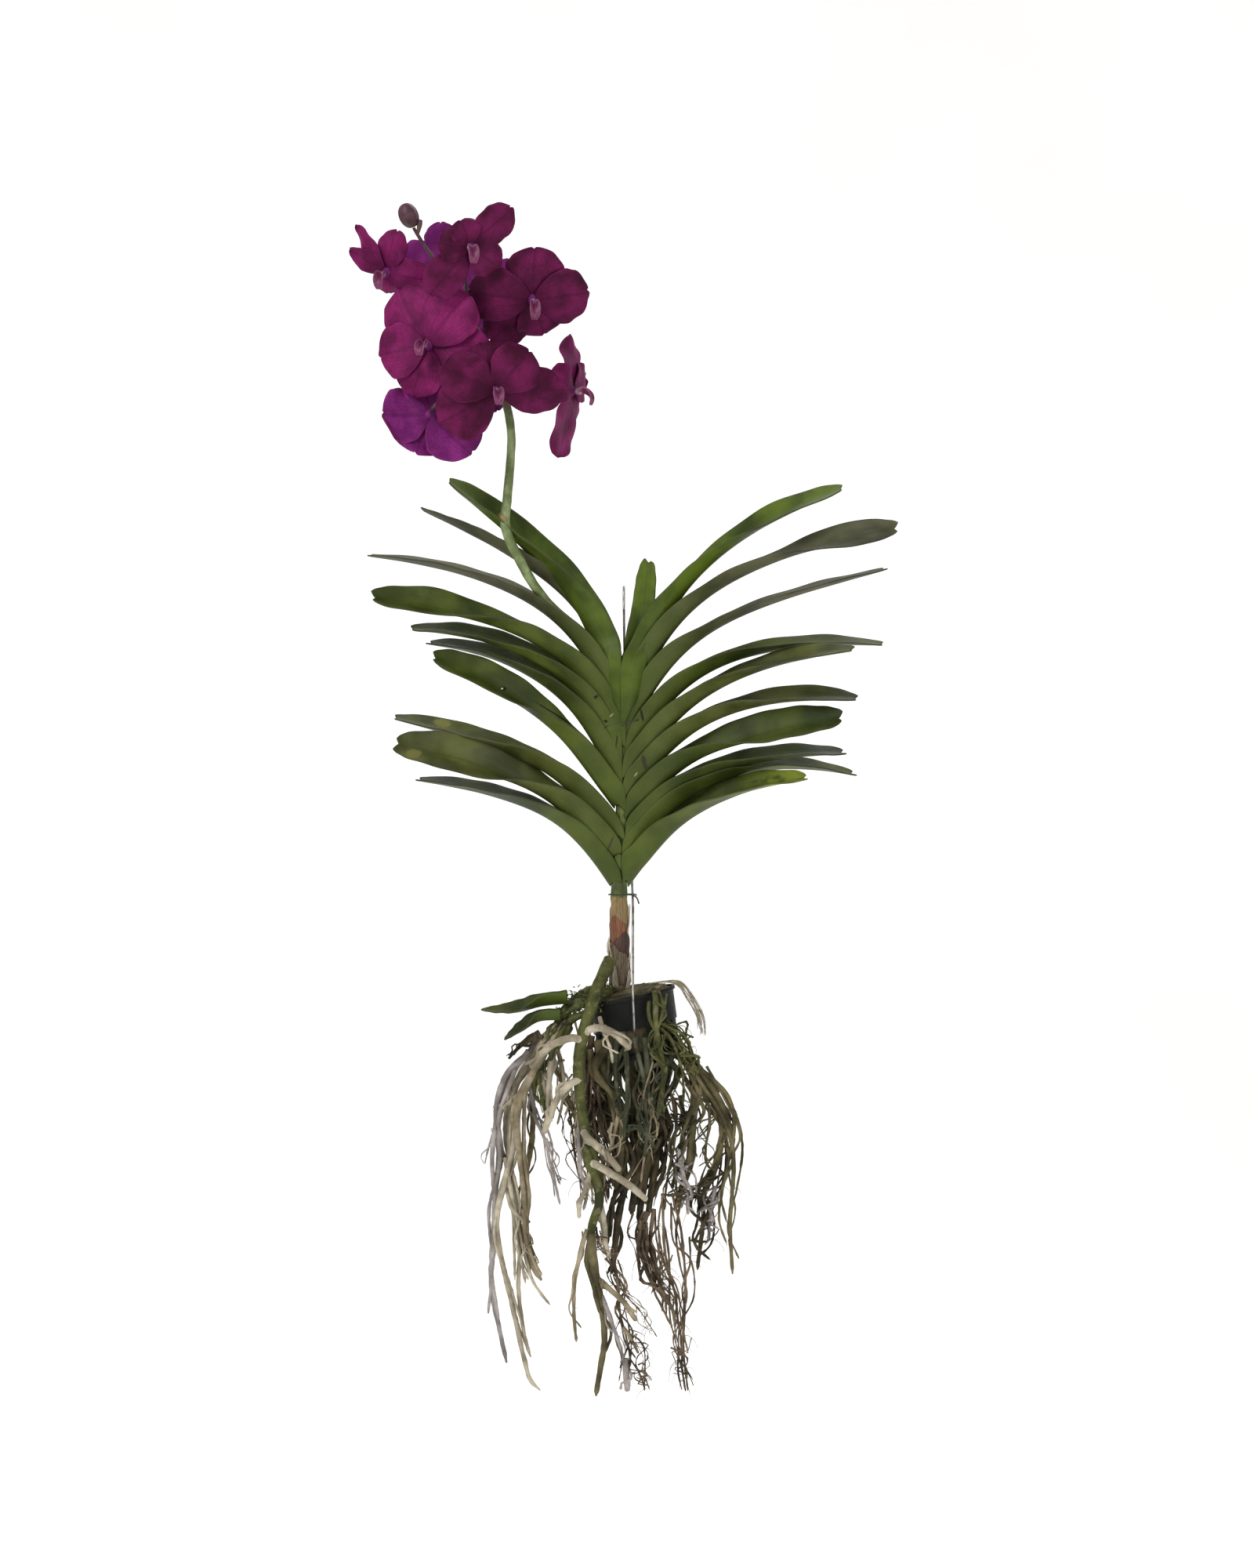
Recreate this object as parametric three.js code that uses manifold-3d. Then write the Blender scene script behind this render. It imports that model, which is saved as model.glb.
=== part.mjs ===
// A vanda orchid as it hangs for sale: a two-ranked fan of strap leaves on one upright stem, a spike of dark
// magenta blooms, bare aerial roots below, and the small net basket and hooked wire that carry it.
//
// Millimetres, +Z up. The origin is the seat of the hanger's hook, where a rail or peg carries the plant.
// The leaves fan out along X, and the blooms face -Y.
import * as THREE from "three";
import { mergeVertices } from "three/addons/utils/BufferGeometryUtils.js";
import { LoftGeometry } from "three/addons/geometries/LoftGeometry.js";
import Module from "manifold-3d";

const wasm = await Module();
wasm.setup();

// ---------------------------------------------------------------- driving sizes

const FAN_SET_FORWARD = 7; // the fan's plane stands this far in front of the hook's seat
const GAP = 0.35; // clearance between two pieces that touch

const STEM = {
  radius: 6,
  bareRadius: 7,
  footRadius: 8,
  top: -68,
  bareTop: -253,
  foot: -352,
  knotTop: -293, // below here the bare stem is a little thicker
  knotSwell: 0.7,
  footTop: -320, // below here it swells to its foot
  sides: 10,
};

const LEAF = {
  claspRadius: STEM.radius + GAP + 0.6,
  claspArc: 84, // degrees of arc that each margin wraps round the stem
  baseThickness: 1.2,
  thickness: 1.5,
  tipThickness: 1.0,
};

const BASKET = {
  centre: [4, 12, -338],
  tilt: 12, // degrees, right side up
  rimRadius: 39,
  footRadius: 33.5,
  height: 52,
  wall: 1.6,
  lip: 1.6,
  slots: 8,
  slotWidth: 19,
  slotTop: -27,
  slotBottom: -47,
  floorHole: 22,
};

const WIRE = { radius: 1, back: 16 };
const TIE_RADIUS = 0.6;

const BUD = { radius: 8, length: 21, place: [-178.2, -4, 307.5], lean: 24 };

const BLOOM = {
  thickness: 0.9,
  hubRadius: 5,
  hubFront: 2.8, // where the hub's front and back stand, from the bloom's middle
  hubBack: -4,
};

const COLOURS = {
  leaf: [0x4a6128, 0.45],
  youngLeaf: [0x5c6f33, 0.45],
  stem: [0x84724a, 0.8],
  spike: [0x7f8f58, 0.55],
  tepal: [0x5f1543, 0.6],
  lip: [0x9c4a78, 0.5],
  bud: [0x5d3344, 0.6],
  paleRoot: [0x9a8c78, 0.85],
  mossyRoot: [0x4f5228, 0.9],
  darkRoot: [0x3d3f2c, 0.9],
  fineRoot: [0x4a3b2c, 0.9],
  basket: [0x232124, 0.5],
  wire: [0xb9b7bd, 0.3],
  tie: [0x2e3324, 0.7],
};

// ---------------------------------------------------------------- small helpers

const { Vector3, MathUtils } = THREE;
const vec = (p) => new Vector3(p[0], p[1], p[2]);
const rad = MathUtils.degToRad;
const { lerp, smoothstep } = MathUtils;

/** Reads a profile of [position, value] stops at t, with smooth steps between the stops. */
function profile(stops, t) {
  for (let i = 1; i < stops.length; i++) {
    const [t0, v0] = stops[i - 1];
    const [t1, v1] = stops[i];
    if (t <= t1) return lerp(v0, v1, smoothstep(t, t0, t1));
  }
  return stops.at(-1)[1];
}

/** A geometry as a manifold-3d solid, turned right side out. */
function solid(geometry) {
  const bare = new THREE.BufferGeometry();
  bare.setAttribute("position", geometry.getAttribute("position"));
  bare.setIndex(geometry.getIndex());
  const merged = mergeVertices(bare, 1e-3);
  const vertProperties = merged.attributes.position.array;
  const kept = [];
  const { array } = merged.index;
  for (let i = 0; i < array.length; i += 3) {
    const [a, b, c] = array.slice(i, i + 3);
    if (a !== b && b !== c && c !== a) kept.push(a, b, c);
  }
  const triVerts = new Uint32Array(kept);
  const made = new wasm.Manifold(new wasm.Mesh({ numProp: 3, vertProperties, triVerts }));
  if (made.volume() > 0) return made;
  triVerts.reverse();
  return new wasm.Manifold(new wasm.Mesh({ numProp: 3, vertProperties, triVerts }));
}

/** The largest body of a solid: loose scraps that a cut leaves are dropped. */
function largest(made) {
  const bodies = made.decompose();
  return bodies.reduce((a, b) => (b.volume() > a.volume() ? b : a));
}

/** A solid as a geometry. */
function geometryOf(made) {
  const { vertProperties, triVerts, numProp } = made.getMesh();
  const position = new Float32Array((vertProperties.length / numProp) * 3);
  for (let i = 0; i < position.length / 3; i++) {
    position.set(vertProperties.subarray(i * numProp, i * numProp + 3), i * 3);
  }
  const geometry = new THREE.BufferGeometry();
  geometry.setAttribute("position", new THREE.BufferAttribute(position, 3));
  geometry.setIndex(new THREE.BufferAttribute(triVerts, 1));
  return geometry;
}

/** Joins solids into one body. */
const fuse = (solids) => largest(wasm.Manifold.union(solids));

/** Cuts solids out of one, and keeps the largest body. */
const carve = (from, cutters) => largest(from.subtract(wasm.Manifold.union(cutters)));

/** A tapered tube through the points. Radii are read along the length as [position, radius] stops. */
function taperedTube(points, radii, { sides = 5, steps = 10, grow = 0 } = {}) {
  const curve = new THREE.CatmullRomCurve3(points.map(vec), false, "centripetal");
  const frames = curve.computeFrenetFrames(steps);
  const sections = [];
  for (let i = 0; i <= steps; i++) {
    const centre = curve.getPointAt(i / steps);
    const radius = profile(radii, i / steps) + grow;
    const ring = [];
    for (let k = 0; k < sides; k++) {
      const angle = (k / sides) * Math.PI * 2;
      ring.push(
        centre
          .clone()
          .addScaledVector(frames.normals[i], Math.cos(angle) * radius)
          .addScaledVector(frames.binormals[i], Math.sin(angle) * radius),
      );
    }
    sections.push(ring);
  }
  return new LoftGeometry(sections, { closed: true, capStart: true, capEnd: true });
}

/** A round wire of even thickness along the points. */
function wireAlong(points, radius, { sides = 8, steps = 40, tension = 0.5 } = {}) {
  const path = new THREE.CatmullRomCurve3(points.map(vec), false, "catmullrom", tension);
  const section = new THREE.Shape().absarc(0, 0, radius, 0, Math.PI * 2);
  return new THREE.ExtrudeGeometry(section, {
    extrudePath: path,
    steps,
    curveSegments: sides,
    bevelEnabled: false,
  });
}

/**
 * A thin closed blade between two grids of points, given row by row. Both faces are split along the same
 * diagonals, so a waved blade keeps its thickness everywhere.
 */
function bladeGeometry(upper, lower) {
  const rows = upper.length;
  const columns = upper[0].length;
  const position = [];
  for (const grid of [upper, lower]) {
    for (const row of grid) {
      for (const p of row) position.push(p.x, p.y, p.z);
    }
  }
  const at = (face, i, j) => face * rows * columns + i * columns + j;
  const index = [];
  for (let i = 0; i < rows - 1; i++) {
    for (let j = 0; j < columns - 1; j++) {
      for (const face of [0, 1]) {
        const [a, b, c, d] = [at(face, i, j), at(face, i, j + 1), at(face, i + 1, j + 1), at(face, i + 1, j)];
        if (face === 0) index.push(a, b, d, b, c, d);
        else index.push(a, d, b, b, d, c);
      }
    }
  }
  const rim = [];
  for (let j = 0; j < columns - 1; j++) rim.push([0, j]);
  for (let i = 0; i < rows - 1; i++) rim.push([i, columns - 1]);
  for (let j = columns - 1; j > 0; j--) rim.push([rows - 1, j]);
  for (let i = rows - 1; i > 0; i--) rim.push([i, 0]);
  rim.forEach(([i, j], k) => {
    const [ni, nj] = rim[(k + 1) % rim.length];
    index.push(at(0, i, j), at(1, i, j), at(0, ni, nj));
    index.push(at(0, ni, nj), at(1, i, j), at(1, ni, nj));
  });
  const geometry = new THREE.BufferGeometry();
  geometry.setAttribute("position", new THREE.Float32BufferAttribute(position, 3));
  geometry.setIndex(index);
  return geometry;
}

const orchid = new THREE.Group();
orchid.position.y = -FAN_SET_FORWARD;

/** Adds a solid to the orchid as a named mesh with its colour. */
function add(name, made, colour) {
  const [color, roughness] = COLOURS[colour];
  const material = new THREE.MeshStandardMaterial({
    color,
    roughness,
    metalness: colour === "wire" ? 1 : 0,
  });
  const mesh = new THREE.Mesh(geometryOf(made), material);
  mesh.name = name;
  orchid.add(mesh);
}

// ---------------------------------------------------------------- stem

/** Where the stem's axis is at a height. */
function stemAxis(z) {
  const x = profile(
    [
      [68, 0],
      [160, 0],
      [255, -4],
      [360, -4],
    ],
    -z,
  );
  const y = profile(
    [
      [250, 0],
      [335, 8],
      [360, 8],
    ],
    -z,
  );
  return new Vector3(x, y, z);
}

/** The stem: a slim core between the leaves, then a bare and slightly knotted length down to the basket. */
function stemSolid(grow = 0) {
  const { top, bareTop, foot, radius, bareRadius, footRadius, knotTop, knotSwell, footTop, sides } = STEM;
  const sections = [];
  const heights = [foot, -330, -312, -294, -292, -275, bareTop - 1, bareTop, -225, -190, -150, -110, top];
  for (const z of heights) {
    const swell = (z < knotTop ? knotSwell : 0) + (z < footTop ? footRadius - bareRadius : 0);
    const knotted = z < bareTop ? bareRadius + swell : radius;
    const axis = stemAxis(z);
    const ring = [];
    for (let k = 0; k < sides; k++) {
      const angle = (k / sides) * Math.PI * 2;
      const r = knotted + grow;
      const rise = z === top ? grow : 0;
      ring.push(new Vector3(axis.x + Math.cos(angle) * r, axis.y + Math.sin(angle) * r, z + rise));
    }
    sections.push(ring);
  }
  return solid(new LoftGeometry(sections, { closed: true, capStart: true, capEnd: true }));
}

// ---------------------------------------------------------------- leaves

// Each leaf: its name, the side it grows to, the height of its base on the stem, the place of its tip (x, z),
// the angles of its keel at the base and at the tip above the horizontal, how far its tip stands behind the
// fan's plane, half its width, how steeply its two halves fold up from the keel, how far it rolls its upper
// face forward, and the share of its length where that roll begins.
const LEAVES = [
  ["leaf_left_1", -1, -80, -146, 88, 74, 34, 12, 18, 58, 22, 0.15],
  ["leaf_left_2", -1, -98, -169, 66, 77, 22, -4, 15, 50, 4, 0.2],
  ["leaf_left_3", -1, -115, -213, 27, 74, 5, 6, 15, 34, 8, 0.2],
  ["leaf_left_4", -1, -130, -209, -8, 66, 6, -14, 15, 46, 38, 0.5],
  ["leaf_left_5", -1, -149, -178, -34, 67, 0, 6, 15, 46, 20, 0.3],
  ["leaf_left_6", -1, -167, -165, -45, 66, 4, 18, 14, 50, 18, 0.3],
  ["leaf_left_7", -1, -185, -159, -57, 54, 18, -8, 16, 48, 44, 0.3],
  ["leaf_left_8", -1, -210, -193, -107, 52, 12, 20, 15, 48, 20, 0.3],
  ["leaf_left_9", -1, -230, -190, -130, 49, 8, -17, 18, 44, 54, 0.3],
  ["leaf_left_10", -1, -249, -173, -159, 58, 6, 8, 14, 42, 12, 0.3],
  ["leaf_right_1", 1, -86, 182, 82, 75, 18, 6, 15, 38, 25, 0.4],
  ["leaf_right_2", 1, -104, 228, 50, 71, 10, -4, 15, 38, 56, 0.55],
  ["leaf_right_3", 1, -122, 219, 16, 67, 14, 6, 15, 28, 8, 0.3],
  ["leaf_right_4", 1, -140, 218, -46, 60, -4, 22, 14, 42, 16, 0.3],
  ["leaf_right_5", 1, -157, 190, -52, 54, 4, -20, 15, 42, 22, 0.4],
  ["leaf_right_6", 1, -175, 195, -92, 54, -6, 4, 15, 46, 26, 0.4],
  ["leaf_right_7", 1, -195, 182, -107, 51, 8, -4, 16, 46, 50, 0.3],
  ["leaf_right_8", 1, -215, 185, -137, 51, -2, 8, 15, 44, 18, 0.3],
  ["leaf_right_9", 1, -232, 195, -155, 57, -14, 30, 14, 44, 14, 0.3],
  ["leaf_right_10", 1, -250, 152, -158, 53, 2, -18, 17, 44, 20, 0.3],
];

// The young leaf stands on the stem's end, and two small leaves of an offset grow by the basket's rim.
const YOUNG_LEAF = ["leaf_centre", 1, STEM.top + GAP, 20, 24, 76, 86, -2, 13.5, 60, 26, 0.3];
const OFFSET_LEAVES = [
  ["leaf_offset_1", -1, [-46, -16.3, -343.5], -117, -348, -4, 6, -26, 8, 50, 24, 0.2],
  ["leaf_offset_2", -1, [-52, -24.4, -356.5], -97, -371, 2, -30, -42, 7, 50, 10, 0.2],
];

const LEAF_STATIONS = [0, 0.05, 0.12, 0.24, 0.42, 0.62, 0.8, 0.93, 1];
const LEAF_COLUMNS = [-1, -0.5, 0, 0.5, 1];

/** A cross-section of a leaf: how far the point at u stands sideways and up, as shares of the half width. */
function foldAt(u, clasp, fold) {
  const parts = 12;
  let across = 0;
  let up = 0;
  for (let i = 0; i < parts; i++) {
    const a = ((i + 0.5) / parts) * Math.abs(u);
    const turn = lerp(fold * Math.min(1, a / 0.3), LEAF.claspArc * a, clasp);
    across += (Math.cos(rad(turn)) * Math.abs(u)) / parts;
    up += (Math.sin(rad(turn)) * Math.abs(u)) / parts;
  }
  return { across: Math.sign(u) * across, up };
}

/** One strap leaf: clasps what bears it, folded like a keel, then opens and arches out to a notched tip. */
function leafFrom(start, clasping, row) {
  const [, side, , tipX, tipZ, rise, end, swing, halfWidth, openness, roll, rollFrom] = row;
  const tip = new Vector3(tipX, swing, tipZ);
  const reach = start.distanceTo(tip);
  const lift = new Vector3(side * Math.cos(rad(rise)), 0, Math.sin(rad(rise)));
  const fall = new Vector3(side * Math.cos(rad(end)), (swing / reach) * 1.5, Math.sin(rad(end)));
  const keel = new THREE.CubicBezierCurve3(
    start,
    start.clone().addScaledVector(lift, reach * 0.41),
    tip.clone().addScaledVector(fall, -reach * 0.45),
    tip,
  );
  const claspHalf = clasping * rad(LEAF.claspArc);
  const upper = [];
  const lower = [];
  for (const s of LEAF_STATIONS) {
    const centre = keel.getPointAt(s);
    const along = keel.getTangentAt(s);
    const turn = rad(roll) * smoothstep(s, rollFrom, rollFrom + 0.4);
    const behind = new Vector3(0, 1, 0).addScaledVector(along, -along.y).normalize();
    const above = new Vector3().crossVectors(along, behind).multiplyScalar(side);
    const wide = behind.clone().multiplyScalar(Math.cos(turn)).addScaledVector(above, Math.sin(turn));
    const normal = above.clone().multiplyScalar(Math.cos(turn)).addScaledVector(behind, -Math.sin(turn));
    const half = profile(
      [
        [0, claspHalf],
        [0.12, halfWidth * 1.22],
        [0.3, halfWidth * 1.2],
        [0.6, halfWidth * 1.05],
        [0.8, halfWidth],
        [0.93, halfWidth * 0.74],
        [1, halfWidth * 0.34],
      ],
      s,
    );
    const fold = profile(
      [
        [0, 66],
        [0.35, openness],
        [0.75, openness * 0.62],
        [1, openness * 0.35],
      ],
      s,
    );
    const clasp = 1 - smoothstep(s, 0, 0.24);
    const thick = profile(
      [
        [0, LEAF.baseThickness],
        [0.3, LEAF.thickness],
        [0.8, LEAF.thickness],
        [1, LEAF.tipThickness],
      ],
      s,
    );
    const notch = s === 1 ? 3 : 0;
    const sink = foldAt(1, 0, fold).up * 0.4 * smoothstep(s, 0.3, 0.7);
    const rows = [[], []];
    for (const u of LEAF_COLUMNS) {
      const { across, up } = foldAt(u, clasp, fold);
      const point = centre
        .clone()
        .addScaledVector(wide, across * half)
        .addScaledVector(normal, (up - sink) * half)
        .addScaledVector(along, -notch * (1 - Math.abs(u)));
      const a = foldAt(u - 0.05, clasp, fold);
      const b = foldAt(u + 0.05, clasp, fold);
      const out = wide
        .clone()
        .multiplyScalar(-(b.up - a.up))
        .addScaledVector(normal, b.across - a.across)
        .normalize();
      const margin = Math.abs(u) === 1 ? 0.35 : 0.5;
      rows[0].push(point.clone().addScaledVector(out, thick * margin));
      rows[1].push(point.clone().addScaledVector(out, -thick * margin));
    }
    upper.push(rows[0]);
    lower.push(rows[1]);
  }
  return solid(bladeGeometry(upper, lower));
}

/** A leaf of the fan, which clasps the stem. */
function fanLeaf(row) {
  const [, side, base] = row;
  const axis = stemAxis(base);
  return leafFrom(new Vector3(axis.x + side * LEAF.claspRadius, axis.y, base), LEAF.claspRadius, row);
}

// ---------------------------------------------------------------- flower spike

const SPIKE = [
  [-1.5, -11.3, -99],
  [-6, -17.6, -85],
  [-18, -22, -64],
  [-44, -23, -34],
  [-70, -24, -6],
  [-83, -25, 18],
  [-97, -21, 47],
  [-96, -15, 73],
  [-94, -11, 99],
  [-93, -9, 125],
  [-96, -8, 146],
  [-108, -7, 183],
  [-127, -5, 222],
  [-150, -3, 261],
  [-166, -3, 284],
  [-174.1, -4, 297.3],
];
const SPIKE_RADII = [
  [0, 2.4],
  [0.06, 3.2],
  [0.4, 3.6],
  [0.6, 3.1],
  [1, 1.5],
];

// The five tepals of an even bloom: angle from the top, length, width, and how far it stands in front of the
// hub's middle.
const TEPALS = [
  [0, 47, 37, -1.4],
  [146, 50, 43, -1],
  [-146, 50, 43, -2.6],
  [72, 47, 43, 1.3],
  [-72, 47, 43, 1.3],
];

// Each bloom: its name, the place of its centre, the way it faces, its size, the share of the spike's length
// where its stalk leaves, and its tepals.
const BLOOMS = [
  [
    "bloom_1", [-159, -50, 193], [-0.3, -0.93, 0], 1, 0.68,
    [
      [-30, 55, 50, -1.4],
      [-160, 43, 44, -1],
      [106, 52, 48, -2.6],
      [42, 54, 50, 1.3],
      [-98, 44, 46, 1.3],
    ],
  ],
  [
    "bloom_2", [-75, -38, 232], [0.2, -0.85, -0.45], 1, 0.74,
    [
      [0, 43, 48, -1.4],
      [156, 34, 40, -1],
      [-142, 50, 38, -2.6],
      [80, 48, 46, 1.3],
      [-84, 54, 46, 1.3],
    ],
  ],
  [
    "bloom_3", [-103, -72, 153], [0.2, -0.95, -0.15], 1, 0.68,
    [
      [-12, 40, 46, -2.6],
      [88, 58, 38, -1],
      [-122, 52, 50, -1.6],
      [40, 43, 44, 1.3],
      [-68, 48, 42, 1.3],
    ],
  ],
  [
    "bloom_4", [-43, -8, 162], [0.93, -0.34, -0.1], 1, 0.69,
    [
      [-4, 46, 40, -1.4],
      [-168, 58, 46, -1],
      [132, 40, 34, -2.6],
      [62, 34, 34, 1.3],
      [-80, 34, 34, 1.3],
    ],
  ],
  [
    "bloom_5", [-158, -35, 138], [-0.25, 0.9, -0.3], 1, 0.67,
    [
      [8, 38, 36, -1.4],
      [98, 38, 46, -1],
      [-140, 48, 52, -2.6],
      [168, 34, 36, 1.3],
      [-76, 44, 42, 1.3],
    ],
  ],
  [
    "bloom_6", [-124, -81, 267], [0.3, -0.9, -0.3], 1, 0.82,
    [
      [47, 48, 30, -1.4],
      [120, 33, 30, -1],
      [-146, 50, 34, -2.6],
      [-20, 22, 26, 1.3],
      [-88, 25, 28, 1.3],
    ],
  ],
  [
    "bloom_7", [-196, -16, 258], [-0.3, -0.9, -0.3], 1, 0.86,
    [
      [20, 36, 26, -1.4],
      [104, 38, 32, -1],
      [-168, 18, 22, -2.6],
      [-24, 42, 14, 1.3],
      [-52, 33, 17, 1.3],
    ],
  ],
  ["bloom_8", [-152, 44, 272], [0.1, 0.95, 0.25], 0.85, 0.88, TEPALS],
  ["bloom_9", [-118, 22, 250], [0.5, 0.85, 0], 0.85, 0.78, TEPALS],
  ["bloom_10", [-130, 40, 186], [-0.2, 0.95, -0.1], 0.85, 0.66, TEPALS],
];

const TEPAL_OUTLINE = [
  [0.05, 0.16],
  [0.3, 0.7],
  [0.6, 1],
  [0.86, 0.84],
  [1, 0.34],
];

/** One rounded and gently waved tepal, standing out from the hub's middle along +Y and facing +Z. */
function tepalSolid([angle, reach, width, forward], phase) {
  const swing = rad(angle);
  const grids = [[], []];
  for (const [t, share] of TEPAL_OUTLINE) {
    const rows = [[], []];
    for (const u of [-1, -0.4, 0.4, 1]) {
      const x = (u * share * width) / 2;
      const y = t * reach * (1 - 0.04 * u * u);
      const wave = Math.sin(t * 5 + phase) * Math.abs(u) * t * 0.7;
      const z = forward * (1 + 0.5 * t) + 2.5 * Math.sin(t * 2.4) - 4.5 * t * t - 1.2 * u * u * t + wave;
      for (const side of [0, 1]) {
        const p = new Vector3(x, y, z + (side ? -1 : 1) * (BLOOM.thickness / 2));
        rows[side].push(p.applyAxisAngle(new Vector3(0, 0, 1), -swing));
      }
    }
    grids[0].push(rows[0]);
    grids[1].push(rows[1]);
  }
  return solid(bladeGeometry(grids[0], grids[1]));
}

/** The place, facing and size of a bloom as a matrix for a solid. */
function bloomPlace(place, facing, size) {
  const z = vec(facing).normalize();
  const y = new Vector3(0, 0, 1).addScaledVector(z, -z.z).normalize();
  const x = new Vector3().crossVectors(y, z);
  const matrix = new THREE.Matrix4().makeBasis(x, y, z).scale(new Vector3(size, size, size));
  return matrix.setPosition(vec(place)).toArray();
}

/** Five tepals on a small hub; the seed shifts the waves of their margins. */
function bloomSolid(tepals, seed) {
  const hub = new THREE.IcosahedronGeometry(BLOOM.hubRadius, 0).scale(1, 1, 0.8).translate(0, 0, -0.6);
  return fuse([solid(hub), ...tepals.map((tepal, i) => tepalSolid(tepal, seed * 1.9 + i * 2.3))]);
}

/** The small lip, which curls forward and down under a short column. */
function lipSolid() {
  const base = BLOOM.hubFront + GAP;
  const column = new THREE.IcosahedronGeometry(1, 0).scale(3.4, 3.4, 3.6).translate(0, 0, base + 3.06);
  const stations = [
    [0, 3, 3, 3.4],
    [-5, 6.5, 4.6, 5],
    [-10, 8.5, 6, 6.5],
    [-14.5, 8, 5, 4],
    [-17, 6, 2.4, 1],
  ];
  const grids = [[], []];
  for (const [y, forward, half, edge] of stations) {
    const rows = [[], []];
    for (const u of [-1, 0, 1]) {
      for (const side of [0, 1]) {
        const z = base + forward + Math.abs(u) * (edge - 3) * 0.6 + (side ? -0.45 : 0.45);
        rows[side].push(new Vector3(u * half, y, z));
      }
    }
    grids[0].push(rows[0]);
    grids[1].push(rows[1]);
  }
  return fuse([solid(column), solid(bladeGeometry(grids[0], grids[1]))]);
}

/** The spike with one stalk to the back of every bloom, and a short stalk to each bud. */
function spikeSolid() {
  const axis = new THREE.CatmullRomCurve3(SPIKE.map(vec), false, "centripetal");
  const tubes = [solid(taperedTube(SPIKE, SPIKE_RADII, { sides: 6, steps: 26 }))];
  for (const [, place, facing, size, share] of BLOOMS) {
    const from = axis.getPointAt(share);
    const way = vec(facing).normalize();
    const hub = vec(place).addScaledVector(way, BLOOM.hubBack * size - GAP);
    const near = hub.clone().addScaledVector(way, -14);
    const middle = from.clone().lerp(near, 0.5).add(new Vector3(0, 0, 4));
    const points = [from, middle, near, hub].map((p) => p.toArray());
    tubes.push(
      solid(
        taperedTube(
          points,
          [
            [0, 1.3],
            [1, 1.9],
          ],
          { sides: 4, steps: 6 },
        ),
      ),
    );
  }
  return fuse(tubes);
}

/** A plump bud at the spike's end. */
function budSolid() {
  const { radius, length, place, lean } = BUD;
  const shape = new THREE.IcosahedronGeometry(1, 1).scale(radius, radius, length / 2);
  return solid(shape.rotateY(-rad(lean)).translate(...place));
}

// ---------------------------------------------------------------- basket, hanger and ties

/** Moves a geometry from the basket's own frame, with its rim at z = 0, to its tilted place. */
function placeInBasket(geometry) {
  return geometry.rotateY(-rad(BASKET.tilt)).translate(...BASKET.centre);
}

/** The basket's shell as one turned profile, grown on every side for a clearance cut. */
function basketShell(grow = 0) {
  const { rimRadius, footRadius, height, wall, lip } = BASKET;
  const slope = (rimRadius - lip - footRadius) / height;
  const outer = (z) => rimRadius - lip + z * slope + grow;
  const inner = (z) => rimRadius - lip - wall + z * slope - grow;
  const hole = BASKET.floorHole - grow;
  const points = [
    [hole, -height - grow],
    [outer(-height), -height - grow],
    [outer(-3), -3 - grow],
    [rimRadius + grow, -3 - grow],
    [rimRadius + grow, grow],
    [inner(0), grow],
    [inner(-height + wall), -height + wall + grow],
    [hole, -height + wall + grow],
  ].map(([r, z]) => new THREE.Vector2(r, z));
  const turned = new THREE.LatheGeometry([...points, points[0]], 24).rotateX(Math.PI / 2);
  return solid(placeInBasket(turned));
}

/** The basket: a solid band under the rim, and tall slots round its lower half. */
function basketSolid(grow = 0) {
  const { slots, slotWidth, slotTop, slotBottom, rimRadius } = BASKET;
  const cutters = [];
  for (let i = 0; i < slots; i++) {
    const box = new THREE.BoxGeometry(slotWidth - 2 * grow, 20, slotTop - slotBottom - 2 * grow);
    box.translate(0, -rimRadius + 3, (slotTop + slotBottom) / 2).rotateZ((i / slots) * Math.PI * 2);
    cutters.push(solid(placeInBasket(box)));
  }
  return carve(basketShell(grow), cutters);
}

/** The inside of the basket as a solid plug that bulges over the rim, for the roots that fill it. */
function basketFill(grow = 0) {
  const { rimRadius, footRadius, height, wall, lip, floorHole } = BASKET;
  const slope = (rimRadius - lip - footRadius) / height;
  const inner = (z) => rimRadius - lip - wall + z * slope - GAP;
  const points = [
    [0, -height - 6 - grow],
    [floorHole - 4 + grow, -height - 5 - grow],
    [floorHole - GAP + grow, -height],
    [floorHole - GAP + grow, -height + wall + GAP - grow],
    [inner(-height + wall) + grow, -height + wall + GAP - grow],
    [inner(-2) + grow, -2 + grow],
    [inner(-2) - 8 + grow, 3 + grow],
    [0, 6 + grow],
  ].map(([r, z]) => new THREE.Vector2(r, z));
  const turned = new THREE.LatheGeometry(points, 16).rotateX(Math.PI / 2);
  return solid(placeInBasket(turned));
}

/** The hanger: a hook over the crown, a long shaft beside the stem, and a foot turned in through a slot. */
const HANGER = [
  [0, -4.5, -18],
  [0, -2.3, -13],
  [0, -2, -8],
  [0, 0.6, -1.6],
  [0, 7, 1],
  [0, 13.4, -1.6],
  [0, WIRE.back, -8],
  [0, WIRE.back, -16],
  [1, WIRE.back, -90],
  [3, WIRE.back, -190],
  [6.5, 14, -240],
  [7.5, 9, -262],
  [7.5, -2, -288],
  [7.5, -24, -324],
  [7.5, -29.6, -336],
  [8, -29.2, -350],
  [8.5, -26.6, -363],
  [8.5, -22, -367.5],
  [8.5, -17.5, -367.5],
];

/** A thin tie wire round the bare stem and the hanger's shaft, with one loose end. */
const TIE_LOWER = [
  [12.5, -7.5, -262],
  [10.6, -6, -257],
  [7, -5.2, -254.9],
  [-1, -8.6, -254.6],
  [-8, -7.4, -254.6],
  [-12.6, 0, -254.6],
  [-9.5, 6.6, -254.6],
  [-2, 9.6, -254.6],
  [4, 13.6, -254.8],
  [9.2, 13.4, -255],
  [10.2, 9, -255.2],
  [9.6, 2, -256.6],
];

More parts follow.
